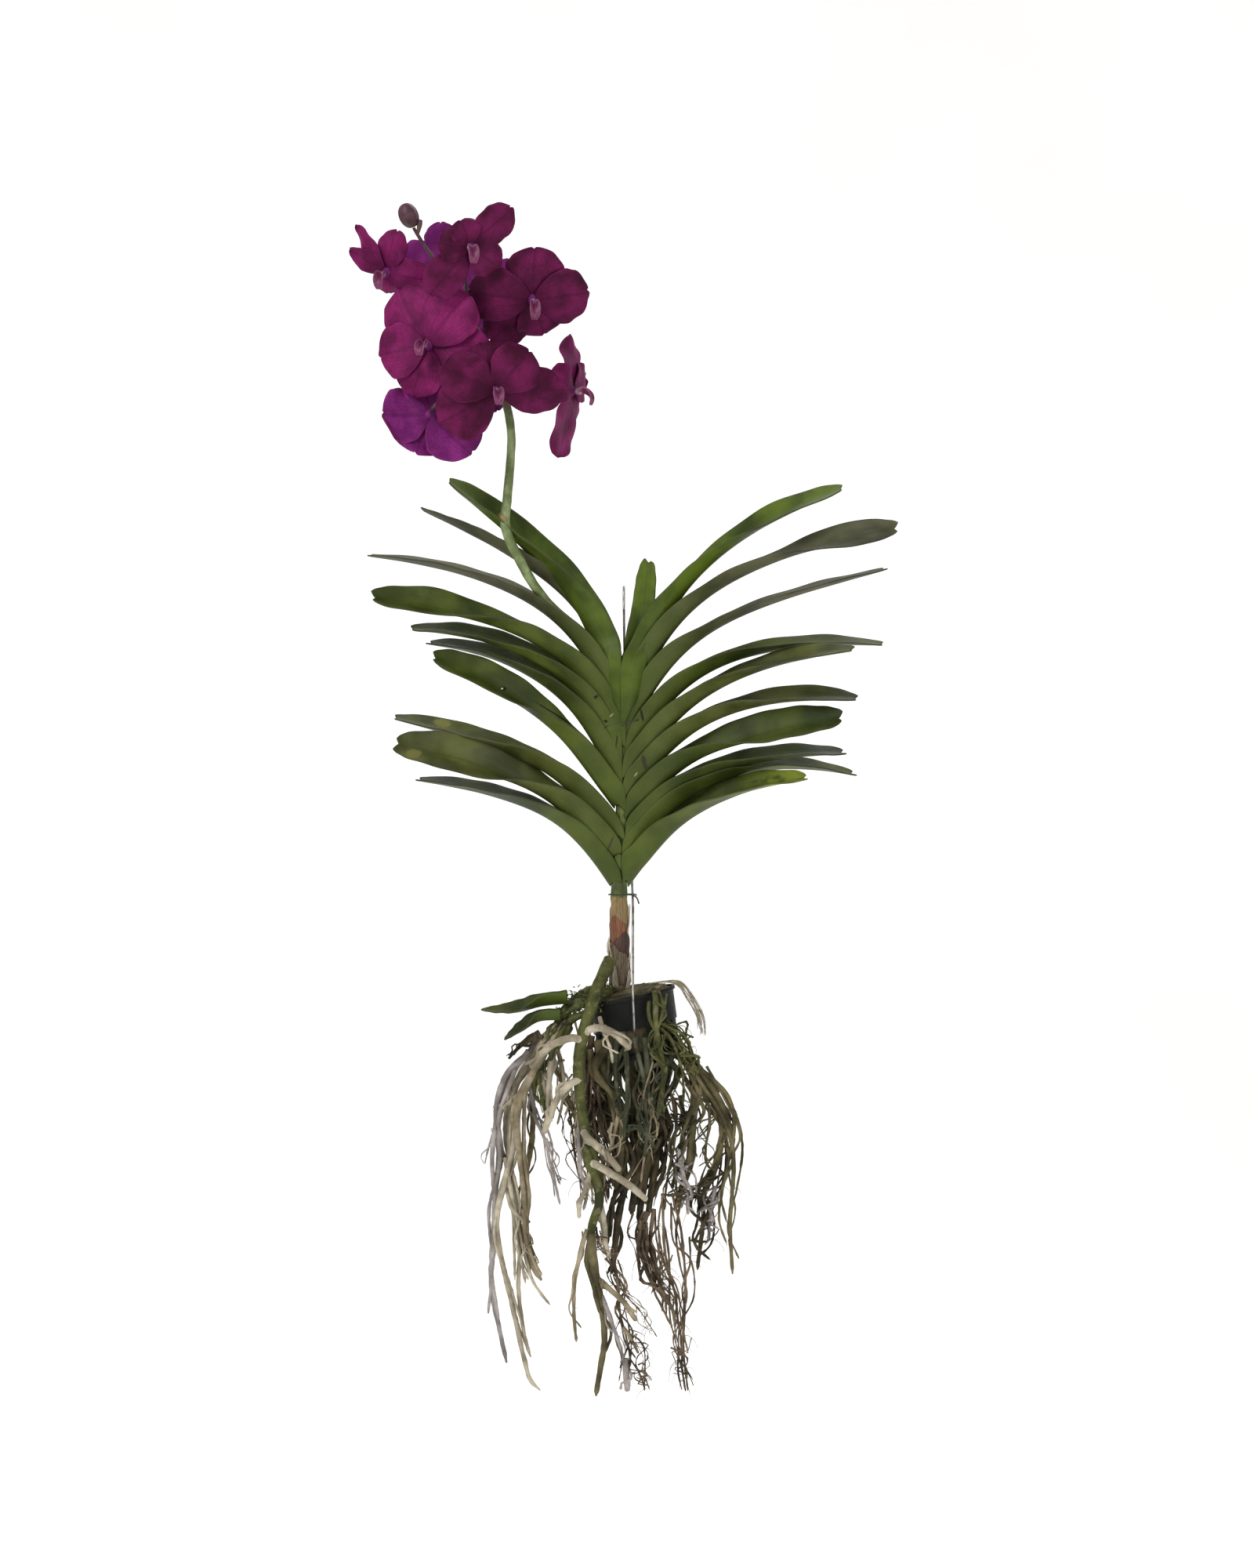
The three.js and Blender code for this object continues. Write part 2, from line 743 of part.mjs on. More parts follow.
/** A thin tie wire across the front of the leaf bases. */
const TIE_UPPER = [
  [-16, -11.4, -117],
  [-13, -16, -115],
  [-6, -16.9, -113],
  [2, -16.9, -112],
  [9, -14.9, -111],
  [12, -11.4, -110],
];

// ---------------------------------------------------------------- roots

// A root: its points, its radius at the start and at three quarters of its length, and its number of steps.
const ROOTS = {
  left: [
    [[[-10, 2, -336], [-28, -4, -335], [-42, -8, -342], [-54, -10, -356]], 8, 6, 6],
    [
      [[-44, -8, -345], [-69, -14, -369], [-95, -14, -402], [-107, -10, -445], [-105, -8, -493],
       [-110, -6, -550], [-103, -8, -603], [-99, -8, -650]],
      3.2, 2.6, 14,
    ],
    [
      [[-50, -8, -350], [-74, -4, -392], [-90, -2, -436], [-97, -6, -473], [-103, -14, -519],
       [-99, -14, -566], [-92, -12, -603], [-82, -10, -640], [-78, -8, -668]],
      3.6, 2.6, 14,
    ],
    [
      [[-50, -10, -356], [-80, -22, -404], [-88, -24, -445], [-84, -22, -482], [-82, -16, -508],
       [-87, -8, -540], [-86, -6, -580], [-80, -10, -630], [-76, -14, -650]],
      2.8, 2.2, 14,
    ],
    [
      [[-54, -8, -362], [-70, 4, -410], [-76, 8, -458], [-84, 6, -510], [-77, 2, -548], [-70, 0, -572],
       [-67, 0, -585]],
      2.6, 2, 10,
    ],
    [
      [[-52, -12, -352], [-66, -20, -378], [-72, -22, -420], [-66, -20, -458], [-58, -18, -491],
       [-52, -16, -512]],
      3.4, 2.2, 9,
    ],
    [[[-48, -16, -350], [-66, -20, -363], [-84, -22, -379], [-96, -23, -391]], 2.6, 2.4, 5],
    [[[-58, -2, -360], [-90, 8, -392], [-112, 10, -440], [-114, 8, -458], [-112, 6, -478]], 1.6, 1.2, 8],
    [
      [[-62, 2, -372], [-82, 10, -430], [-88, 12, -500], [-80, 10, -546], [-62, 8, -590], [-60, 8, -600]],
      2, 1.6, 10,
    ],
  ],
  thick: [
    [
      [[-8, -6, -304], [-18, -15, -322], [-30, -25, -348], [-35, -28, -389], [-36, -27, -440],
       [-24, -27, -482], [-18, -25, -508], [-26, -23, -530], [-23, -23, -556], [-16, -23, -603],
       [-18, -23, -640], [-25, -23, -676]],
      6.4, 4.2, 24,
    ],
    [[[-32, -27, -372], [-44, -34, -374], [-60, -35, -382], [-76, -33, -396], [-84, -33, -410]], 3.2, 2.8, 7],
    [[[-32, -27, -366], [-22, -35, -366], [-12, -37, -368], [-2, -35, -374], [6, -33, -386]], 3, 2.6, 7],
    [[[-34, -27, -450], [-20, -32, -464], [-6, -34, -478], [2, -34, -486]], 2, 1.6, 5],
    [[[-22, -27, -482], [-12, -32, -490], [4, -34, -498], [20, -32, -510]], 2.2, 1.8, 6],
    [[[-26, -25, -486], [-31, -31, -500], [-37, -32, -512], [-37, -30, -524]], 2.2, 1.6, 5],
    [[[-26, -23, -540], [-36, -27, -552], [-41, -27, -572], [-42, -25, -610], [-40, -25, -628]], 2.6, 2, 7],
    [[[-20, -23, -572], [-8, -27, -580], [2, -28, -594], [10, -27, -612]], 2.2, 1.6, 6],
    [[[-18, -23, -590], [-10, -28, -610], [-2, -29, -640], [3, -28, -660], [4, -28, -672]], 2, 1.4, 7],
  ],
  mass: [
    [[[6, 10, -380], [-4, 0, -430], [-2, -8, -480], [6, -8, -520], [4, -8, -560]], 7, 4.5, 8],
    [[[16, 12, -380], [18, 6, -430], [22, 0, -480], [18, -2, -520], [20, 0, -560]], 7, 4, 8],
    [[[24, 14, -380], [36, 16, -420], [40, 14, -460], [34, 10, -510], [24, 8, -550]], 6, 3, 8],
    [[[10, 20, -380], [8, 26, -430], [14, 28, -480], [16, 24, -530]], 6, 3.5, 7],
    [[[20, 0, -386], [14, -12, -410], [8, -16, -440], [10, -16, -480], [14, -14, -520]], 4, 2.4, 8],
    [[[4, 16, -384], [-14, 16, -410], [-22, 14, -440], [-14, 14, -480], [-4, 12, -520]], 4.4, 2.6, 8],
    [
      [[38, 10, -372], [50, 8, -378], [62, 6, -394], [80, 4, -426], [90, 4, -460], [89, 4, -500],
       [87, 4, -540], [89, 4, -574]],
      3.4, 2.4, 14,
    ],
    [[[40, 22, -374], [52, 24, -384], [60, 22, -410], [58, 18, -440], [51, 14, -462]], 4.4, 4.2, 9],
    [
      [[38, -2, -374], [52, -8, -386], [68, -10, -404], [80, -10, -430], [84, -10, -462], [84, -8, -482],
       [75, -6, -506]],
      2.8, 2.2, 11,
    ],
    [
      [[46, 6, -378], [58, 12, -400], [66, 14, -440], [68, 12, -470], [74, 8, -500], [70, 8, -526],
       [64, 8, -550], [60, 8, -570]],
      2.6, 1.8, 11,
    ],
    [[[30, 26, -384], [44, 34, -410], [50, 34, -450], [56, 30, -490], [66, 26, -512]], 3, 2, 8],
    [
      [[24, -20, -333.5], [25, -28, -333], [25.5, -31, -345], [26, -30.5, -368], [30, -27, -384],
       [33, -24, -410], [30, -22, -440]],
      2.4, 2, 12,
    ],
  ],
  fine: [
    [
      [[28, 2, -392], [40, -4, -420], [42, -4, -450], [42, -4, -500], [48, -4, -540], [51, -4, -580],
       [48, -4, -620], [45, -4, -664]],
      1.5, 1.1, 12,
    ],
    [
      [[24, 8, -396], [32, -10, -436], [33, -12, -480], [34, -10, -540], [42, -8, -582], [48, -8, -612],
       [53, -8, -666]],
      1.6, 1.1, 12,
    ],
    [
      [[20, -4, -500], [16, -6, -540], [20, -8, -566], [27, -10, -584], [40, -10, -594], [46, -8, -610],
       [49, -4, -640], [51, -4, -668]],
      1.5, 1.1, 11,
    ],
    [[[33, -10, -500], [46, -10, -497], [60, -10, -498], [72, -12, -500], [83, -12, -490]], 1.3, 1, 7],
    [
      [[30, -12, -450], [22, -16, -480], [12, -18, -540], [2, -18, -580], [2, -16, -620], [4, -16, -668]],
      1.4, 1.1, 10,
    ],
    [[[10, -18, -560], [6, -18, -600], [16, -18, -630], [16, -18, -668]], 1.2, 1, 7],
  ],
};

// A wisp of dry fibres that springs from the root mass over the basket's right edge.
const WISP = [
  [[20, 10, -329.4], [34, 8, -327.2], [43, 7, -327], [54, 6, -339], [63, 5, -355], [65, 5, -371]],
  [[20, 10, -329.4], [34, 8, -327.4], [47, 9, -327.6], [58, 9, -341], [66, 8, -357], [68, 8, -372]],
  [[20, 10, -329.4], [34, 8, -327.6], [44, 5, -329], [52, 3, -341], [60, 2, -354], [63, 2, -366]],
];

/** The roots of one group as one body. */
function rootGroup(rows, extra = [], grow = 0) {
  const tubes = rows.map(([points, first, last, steps], i) =>
    solid(
      taperedTube(
        points,
        [
          [0, first],
          [0.75, last],
          [1, Math.min(0.8, last * 0.5)],
        ],
        { sides: i === 0 || first > 5 ? 6 : 5, steps, grow },
      ),
    ),
  );
  return fuse([...tubes, ...extra]);
}

// ---------------------------------------------------------------- build

const stem = stemSolid();
const stemClear = stemSolid(GAP);
const leaves = LEAVES.map((row) => [row[0], fanLeaf(row)]);
const basket = basketSolid();
const basketClear = basketSolid(GAP);
const hanger = solid(wireAlong(HANGER, WIRE.radius, { sides: 3, steps: 60 }));
const hangerPath = [...HANGER, [8.5, -16, -367.5]];
const hangerClear = solid(wireAlong(hangerPath, WIRE.radius + GAP * 1.3, { sides: 3, steps: 60 }));

add("stem", stem, "stem");
for (const [name, made] of leaves) add(name, made, "leaf");
add(YOUNG_LEAF[0], leafFrom(new Vector3(5.6, 0, YOUNG_LEAF[2]), 3.4, YOUNG_LEAF), "youngLeaf");
for (const row of OFFSET_LEAVES) add(row[0], leafFrom(vec(row[2]), 3, row), "leaf");
add("flower_spike", spikeSolid(), "spike");
const lip = lipSolid();
BLOOMS.forEach(([name, place, facing, size, , tepals], i) => {
  const matrix = bloomPlace(place, facing, size);
  add(name, bloomSolid(tepals, i + 1).transform(matrix), "tepal");
  add(name.replace("bloom", "lip"), lip.transform(matrix), "lip");
});
add("bud", budSolid(), "bud");
add("basket", basket, "basket");
add("hanger_wire", hanger, "wire");
add("tie_upper", solid(wireAlong(TIE_UPPER, TIE_RADIUS, { sides: 2, steps: 12 })), "tie");
add("tie_lower", solid(wireAlong(TIE_LOWER, TIE_RADIUS, { sides: 2, steps: 30 })), "tie");

const rootMass = carve(rootGroup(ROOTS.mass, [basketFill()]), [stemClear, hangerClear, basketClear]);
const massClear = rootGroup(ROOTS.mass, [basketFill(GAP)], GAP);
add("root_mass", rootMass, "darkRoot");
add("roots_left", carve(rootGroup(ROOTS.left), [stemClear, basketClear, massClear]), "paleRoot");
add("root_thick", carve(rootGroup(ROOTS.thick), [stemClear, basketClear, massClear]), "mossyRoot");
add("roots_fine", carve(rootGroup(ROOTS.fine), [massClear]), "fineRoot");

const wisp = WISP.map((points) => solid(taperedTube(points, [[0, 0.7], [1, 0.45]], { sides: 3, steps: 8 })));
add("fibre_wisp", fuse(wisp), "paleRoot");

export default orchid;
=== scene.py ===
"""A vanda orchid as it hangs for sale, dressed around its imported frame.

Two ranks of strap leaves clasp one upright stem. A spike of magenta blooms leans out of the crown, a skirt of bare
roots hangs below, and a small net basket on a hooked wire carries the plant. Sizes in the tables are millimetres, in
the frame whose leaf fan lies on the plane y = 0; meshes are in metres, in the row frame.
"""

import logging
import math
import random
from collections.abc import Callable, Iterable, Sequence
from dataclasses import dataclass
from enum import Enum

import bpy
import numpy as np
from bpy.types import Material, MeshPolygon, Node, NodeSocket, Object
from mathutils import Matrix, Vector, noise


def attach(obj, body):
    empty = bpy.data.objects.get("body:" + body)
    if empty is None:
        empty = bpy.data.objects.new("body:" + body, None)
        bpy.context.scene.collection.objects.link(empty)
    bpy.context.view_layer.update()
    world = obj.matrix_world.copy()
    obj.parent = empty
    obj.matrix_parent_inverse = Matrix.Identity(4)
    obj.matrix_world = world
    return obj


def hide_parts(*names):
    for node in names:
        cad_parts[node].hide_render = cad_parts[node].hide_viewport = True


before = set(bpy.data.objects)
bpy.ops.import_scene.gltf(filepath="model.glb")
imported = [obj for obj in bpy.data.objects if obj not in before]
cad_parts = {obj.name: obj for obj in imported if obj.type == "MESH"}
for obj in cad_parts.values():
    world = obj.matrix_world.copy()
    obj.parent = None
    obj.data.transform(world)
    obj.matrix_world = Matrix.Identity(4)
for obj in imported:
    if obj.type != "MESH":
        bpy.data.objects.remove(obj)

LOG = logging.getLogger("orchid")
MM = 0.001
FAN_SET_FORWARD = 7.0  # the fan's plane stands this far in front of the hook's seat
BODY = "root"

Point = tuple[float, float, float]
Stops = Sequence[tuple[float, float]]


# --- small helpers


def smooth_step(value: np.ndarray | float, low: float, high: float) -> np.ndarray | float:
    """A smooth rise from 0 at low to 1 at high."""
    share = np.clip((value - low) / (high - low), 0.0, 1.0)
    return share * share * (3 - 2 * share)


def read_profile(stops: Stops, at: float) -> float:
    """Reads a profile of (position, value) stops, with smooth steps between the stops.

    Args:
        stops: Position and value pairs, in order.
        at: Where the profile is read.

    Returns:
        The value there.
    """
    for (before, low), (after, high) in zip(stops, stops[1:]):
        if at <= after:
            return low + (high - low) * float(smooth_step(at, before, after))
    return stops[-1][1]


def linear(code: str) -> tuple[float, float, float, float]:
    """A colour written as six hexadecimal digits, as the linear colour that a socket takes."""
    parts = [int(code[i : i + 2], 16) / 255 for i in (0, 2, 4)]
    red, green, blue = (p / 12.92 if p <= 0.04045 else ((p + 0.055) / 1.055) ** 2.4 for p in parts)
    return (red, green, blue, 1.0)


class Route:
    """A smooth line through points, read by the share of its length.

    Args:
        points: The points that the line passes, in millimetres.
    """

    SAMPLES = 14  # samples on each stretch between two points

    def __init__(self, points: Iterable[Point]) -> None:
        known = np.asarray(list(points), float)
        ends = (2 * known[0] - known[1], 2 * known[-1] - known[-2])
        knots = np.vstack([ends[0], known, ends[1]])
        line = []
        for i in range(1, len(knots) - 2):
            line.append(self._stretch(knots[i - 1 : i + 3]))
        self.line = np.vstack([*line, known[-1:]])
        steps = np.linalg.norm(np.diff(self.line, axis=0), axis=1)
        self.length = float(steps.sum())
        self.shares = np.concatenate([[0], np.cumsum(steps)]) / self.length

    def _stretch(self, four: np.ndarray) -> np.ndarray:
        """One centripetal stretch between the middle two of four points."""
        gaps = np.sqrt(np.linalg.norm(np.diff(four, axis=0), axis=1)) + 1e-6
        t0, t1, t2, t3 = np.concatenate([[0], np.cumsum(gaps)])
        t = np.linspace(t1, t2, self.SAMPLES, endpoint=False)[:, None]
        a1 = (t1 - t) / (t1 - t0) * four[0] + (t - t0) / (t1 - t0) * four[1]
        a2 = (t2 - t) / (t2 - t1) * four[1] + (t - t1) / (t2 - t1) * four[2]
        a3 = (t3 - t) / (t3 - t2) * four[2] + (t - t2) / (t3 - t2) * four[3]
        b1 = (t2 - t) / (t2 - t0) * a1 + (t - t0) / (t2 - t0) * a2
        b2 = (t3 - t) / (t3 - t1) * a2 + (t - t1) / (t3 - t1) * a3
        return (t2 - t) / (t2 - t1) * b1 + (t - t1) / (t2 - t1) * b2

    def at(self, share: float | np.ndarray) -> np.ndarray:
        """The point at a share of the length, or one row for each share."""
        return np.stack([np.interp(share, self.shares, self.line[:, k]) for k in range(3)], axis=-1)

    def along(self, share: float) -> np.ndarray:
        """The unit direction of the line at a share of its length."""
        step = self.at(min(1.0, share + 0.01)) - self.at(max(0.0, share - 0.01))
        return step / np.linalg.norm(step)


# --- modelling


def select_only(*objects: Object) -> None:
    """Selects these objects and nothing else, and makes the first one active."""
    bpy.ops.object.select_all(action="DESELECT")
    for obj in objects:
        obj.select_set(True)
    bpy.context.view_layer.objects.active = objects[0]


def apply_modifier(obj: Object, kind: str, **settings: object) -> None:
    """Adds a modifier with its settings and applies it.

    Args:
        obj: The object to change.
        kind: The modifier's type.
        **settings: The modifier's properties.
    """
    select_only(obj)
    modifier = obj.modifiers.new(kind.title(), kind)
    for key, value in settings.items():
        setattr(modifier, key, value)
    bpy.ops.object.modifier_apply(modifier=modifier.name)


def join(objects: Sequence[Object]) -> Object:
    """Joins objects into the first one."""
    select_only(*objects)
    if len(objects) > 1:
        bpy.ops.object.join()
    return objects[0]


def on_fan(points: np.ndarray) -> np.ndarray:
    """Places in millimetres in the fan's frame, as metres in the row frame."""
    return (np.asarray(points, float) + (0, -FAN_SET_FORWARD, 0)) * MM


def select_faces(obj: Object, wanted: Callable[[MeshPolygon], bool]) -> None:
    """Opens an object in edit mode with only the wanted faces selected.

    Args:
        obj: The mesh object.
        wanted: Says of each face whether it is selected.
    """
    select_only(obj)
    bpy.ops.object.mode_set(mode="EDIT")
    bpy.ops.mesh.select_mode(type="FACE")
    bpy.ops.mesh.select_all(action="DESELECT")
    bpy.ops.object.mode_set(mode="OBJECT")
    for face in obj.data.polygons:
        face.select = wanted(face)
    bpy.ops.object.mode_set(mode="EDIT")


def dress(obj: Object, *materials: Material) -> None:
    """Gives a mesh these materials and no others."""
    obj.data.materials.clear()
    for material in materials:
        obj.data.materials.append(material)


def sheet(places: np.ndarray) -> Object:
    """A grid whose vertices are moved to the given places. Its UV map has U across and V along.

    Args:
        places: Rows of places along the sheet, in metres, as an array (rows, columns, 3).

    Returns:
        The new object.
    """
    rows, columns = places.shape[:2]
    bpy.ops.mesh.primitive_grid_add(x_subdivisions=columns - 1, y_subdivisions=rows - 1, size=1)
    obj = bpy.context.object
    obj.data.vertices.foreach_set("co", places.astype(np.float32).ravel())
    obj.data.update()
    return obj


def thicken(obj: Object, thickness: float, materials: Sequence[Material]) -> None:
    """Gives a sheet its thickness, both ways from its middle, and rounds it by one subdivision.

    Args:
        obj: The sheet.
        thickness: The thickness in millimetres.
        materials: The finish of its face, and that of its back where it is another.
    """
    dress(obj, *materials)
    apply_modifier(obj, "SOLIDIFY", thickness=thickness * MM, offset=0.0, material_offset=len(materials) - 1)
    apply_modifier(obj, "SUBSURF", levels=1, render_levels=1)


def ring_stack(centres: Sequence[np.ndarray], radii: Sequence[float], sides: int) -> Object:
    """A filled circle that is extruded upwards ring by ring.

    Args:
        centres: The centre of each ring, in metres, from the lowest to the highest.
        radii: The radius of each ring, in metres.
        sides: How many sides a ring has.

    Returns:
        The closed shape.
    """
    bpy.ops.mesh.primitive_circle_add(
        vertices=sides, radius=radii[0], fill_type="NGON", location=tuple(centres[0])
    )
    obj = bpy.context.object
    bpy.ops.object.mode_set(mode="EDIT")
    bpy.ops.mesh.select_all(action="SELECT")
    for (low, before), (high, after) in zip(zip(centres, radii), zip(centres[1:], radii[1:])):
        bpy.ops.mesh.extrude_region_move(TRANSFORM_OT_translate={"value": tuple(high - low)})
        grow = after / before
        bpy.ops.transform.resize(value=(grow, grow, 1), center_override=tuple(high))
    bpy.ops.mesh.select_all(action="SELECT")
    bpy.ops.mesh.normals_make_consistent(inside=False)
    bpy.ops.object.mode_set(mode="OBJECT")
    bpy.ops.object.transform_apply(location=True, rotation=True, scale=True)
    return obj


@dataclass(frozen=True)
class Strand:
    """A tapering round strand: its points and its radius at the start and near the end, in millimetres."""

    points: tuple[Point, ...]
    start: float
    end: float
    tip: float = 0.3  # the share of the end radius that is left at the very tip
    stops: Stops = ()  # the radii along the strand, where they don't simply taper

    def radius(self, share: float) -> float:
        """The radius at a share of the length."""
        taper = ((0, self.start), (0.75, self.end), (0.975, self.end * 0.85), (1, self.end * self.tip))
        return read_profile(self.stops or taper, share)


def tubes(strands: Sequence[Strand], rounds: int = 1, step: float = 7.0) -> Object:
    """Strands as one curve with a spline for each, turned into a mesh.

    Args:
        strands: The strands.
        rounds: The curve's bevel resolution: 0 gives 4 sides, and each step adds 2.
        step: The distance between rings along a strand, in millimetres.

    Returns:
        The new mesh object.
    """
    curve = bpy.data.curves.new("strands", "CURVE")
    curve.dimensions = "3D"
    curve.bevel_depth = 1.0
    curve.bevel_resolution = rounds
    curve.use_fill_caps = True
    for strand in strands:
        route = Route(strand.points)
        count = max(4, int(route.length / step))
        shares = np.concatenate([np.linspace(0, 0.975, count), [0.99, 1.0]])
        places = on_fan(route.at(shares))
        spline = curve.splines.new("POLY")
        spline.use_smooth = True
        spline.points.add(len(shares) - 1)
        for spot, place, share in zip(spline.points, places, shares):
            spot.co = (*place, 1)
            spot.radius = strand.radius(float(share)) * MM
    obj = bpy.data.objects.new("strands", curve)
    bpy.context.scene.collection.objects.link(obj)
    select_only(obj)
    bpy.ops.object.convert(target="MESH")
    return bpy.context.object


def roughen(obj: Object, amount: float, size: float, seed: float = 0.0) -> None:
    """Moves each vertex a little along its normal, by a smooth noise.

    Args:
        obj: The mesh object.
        amount: The farthest move in millimetres.
        size: The size of a bump in millimetres.
        seed: Shifts the noise.
    """
    shift = Vector((seed, seed * 1.7, -seed))
    for vertex in obj.data.vertices:
        move = noise.noise(vertex.co / (size * MM) + shift)
        vertex.co += vertex.normal * (move * amount * MM)
    obj.data.update()


def finish_piece(obj: Object, name: str, nodes: Sequence[str] = ()) -> Object:
    """Names a dressed piece, puts its place into its mesh and ties it to the frame.

    Args:
        obj: The finished mesh object.
        name: Its name.
        nodes: The frame's nodes that it stands for.

    Returns:
        The same object.
    """
    select_only(obj)
    bpy.ops.object.transform_apply(location=True, rotation=True, scale=True)
    bpy.ops.object.shade_smooth()
    obj.name = name
    obj.data.name = name
    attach(obj, BODY)
    if nodes:
        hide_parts(*nodes)
    LOG.info("%s: %d faces", name, len(obj.data.polygons))
    return obj


# --- shader graph


class Value:
    """A number in a shader graph. Arithmetic on it adds Math nodes.

    Args:
        graph: The graph that the number belongs to.
        socket: The output socket that gives it.
    """

    def __init__(self, graph: "Graph", socket: NodeSocket) -> None:
        self.graph = graph
        self.socket = socket

    def _math(self, operation: str, *inputs: "Value | float") -> "Value":
        """A Math node on these inputs."""
        made = self.graph.node("ShaderNodeMath", {"operation": operation}, dict(enumerate(inputs)))
        return Value(self.graph, made.outputs[0])

    def __add__(self, other: "Value | float") -> "Value":
        """The sum."""
        return self._math("ADD", self, other)

    def __sub__(self, other: "Value | float") -> "Value":
        """The difference."""
        return self._math("SUBTRACT", self, other)

    def __rsub__(self, other: float) -> "Value":
        """The difference from a plain number."""
        return self._math("SUBTRACT", other, self)

    def __mul__(self, other: "Value | float") -> "Value":
        """The product."""
        return self._math("MULTIPLY", self, other)

    __radd__ = __add__
    __rmul__ = __mul__

    def absolute(self) -> "Value":
        """The number without its sign."""
        return self._math("ABSOLUTE", self)

    def larger(self, other: "Value | float") -> "Value":
        """The larger of the two."""
        return self._math("MAXIMUM", self, other)

    def rise(self, low: float, high: float) -> "Value":
        """A smooth step from 0 at low to 1 at high. With low above high it falls instead."""
        if low > high:
            return 1 - self.rise(high, low)
        made = self.graph.node(
            "ShaderNodeMapRange",
            {"interpolation_type": "SMOOTHSTEP", "clamp": True},
            {"Value": self, "From Min": low, "From Max": high},
        )
        return Value(self.graph, made.outputs[0])


class Graph:
    """The node graph of one material, with a Principled BSDF.

    Args:
        name: The material's name.
    """

    def __init__(self, name: str) -> None:
        self.material = bpy.data.materials.new(name)
        self.material.use_nodes = True
        self.tree = self.material.node_tree
        self.shader = next(n for n in self.tree.nodes if n.type == "BSDF_PRINCIPLED")

    def node(self, kind: str, settings: dict[str, object], inputs: dict[str | int, object]) -> Node:
        """Adds a node.

        Args:
            kind: The node's type.
            settings: Its properties, which are set first.
            inputs: A number, a colour's digits, a Value or a socket for each input, by name or number.

        Returns:
            The new node.
        """
        made = self.tree.nodes.new(kind)
        for key, value in settings.items():
            setattr(made, key, value)
        for key, value in inputs.items():
            self.feed(made.inputs[key], value)
        return made

    def feed(self, socket: NodeSocket, value: object) -> None:
        """Links or sets one input socket."""
        if isinstance(value, Value):
            self.tree.links.new(value.socket, socket)
        elif isinstance(value, NodeSocket):
            self.tree.links.new(value, socket)
        else:
            socket.default_value = linear(value) if isinstance(value, str) else value

    def place(self) -> NodeSocket:
        """The place on the object, in metres."""
        return self.node("ShaderNodeTexCoord", {}, {}).outputs["Object"]

    def height(self, place: NodeSocket) -> Value:
        """The height of a place, in metres."""
        return Value(self, self.node("ShaderNodeSeparateXYZ", {}, {0: place}).outputs[2])

    def strip(self) -> tuple[Value, Value, NodeSocket]:
        """The sheet's own U across, V along, and both together."""
        made = self.node("ShaderNodeUVMap", {"uv_map": "UVMap"}, {})
        parts = self.node("ShaderNodeSeparateXYZ", {}, {0: made.outputs[0]})
        return Value(self, parts.outputs[0]), Value(self, parts.outputs[1]), made.outputs[0]

    def scaled(self, vector: NodeSocket, scale: Point, shift: Point = (0, 0, 0)) -> NodeSocket:
        """A vector moved and scaled by a Mapping node."""
        return self.node("ShaderNodeMapping", {}, {"Vector": vector, "Location": shift, "Scale": scale}).outputs[0]

    def noise(self, vector: NodeSocket, scale: float, detail: float = 2.0) -> Value:
        """A noise pattern, mostly between 0.3 and 0.7."""
        made = self.node("ShaderNodeTexNoise", {}, {"Vector": vector, "Scale": scale, "Detail": detail})
        return Value(self, made.outputs[0])

    def cells(self, vector: NodeSocket, scale: float, feature: str = "F1") -> Value:
        """The distance in a cell pattern: from the cell's centre, or from its edge."""
        made = self.node("ShaderNodeTexVoronoi", {"feature": feature}, {"Vector": vector, "Scale": scale})
        return Value(self, made.outputs["Distance"])

    def mix(self, share: Value | float, first: object, second: object) -> NodeSocket:
        """A mix of two colours."""
        return self.node("ShaderNodeMix", {"data_type": "RGBA"}, {0: share, 6: first, 7: second}).outputs[2]

    def bump(self, height: Value, depth: float) -> NodeSocket:
        """A bump of that depth in millimetres."""
        sizes = {"Strength": 1.0, "Distance": depth * MM, "Height": height}
        return self.node("ShaderNodeBump", {}, sizes).outputs[0]

    def dress(self, **sockets: object) -> Material:
        """Sets the shader's sockets, by names with _ for a space.

        Returns:
            The material.
        """
        for key, value in sockets.items():
            self.feed(self.shader.inputs[key.replace("_", " ")], value)
        return self.material


# --- leaves


class LeafAgeAndShade(Enum):
    """How old a leaf looks, and for SHADED a darker copy of the green that paints shade on leaves that hang in
    shade: its deep colour, its lit colour and its grey share.
    """

    CROWN = ("2f3c0e", "5a6d1d", 0.0)
    GREEN = ("303a13", "545f24", 0.08)
    OLIVE = ("343a17", "5c612e", 0.2)
    GREYED = ("393b26", "606144", 0.45)
    # painted shade: the green darkened for leaves that hang in the shade of others
    SHADED = ("2d3716", "4f5a26", 0.1)


@dataclass(frozen=True)
class LeafMark:
    """A mark on a leaf, such as a scar, a fleck, a yellow patch, a painted highlight or a painted shadow along a
    crease: its place (x, z) on the fan, its half sizes, its turn in degrees and its colour.
    """

    place: tuple[float, float]
    half: tuple[float, float]
    turn: float = 0.0
    colour: str = "1c1509"


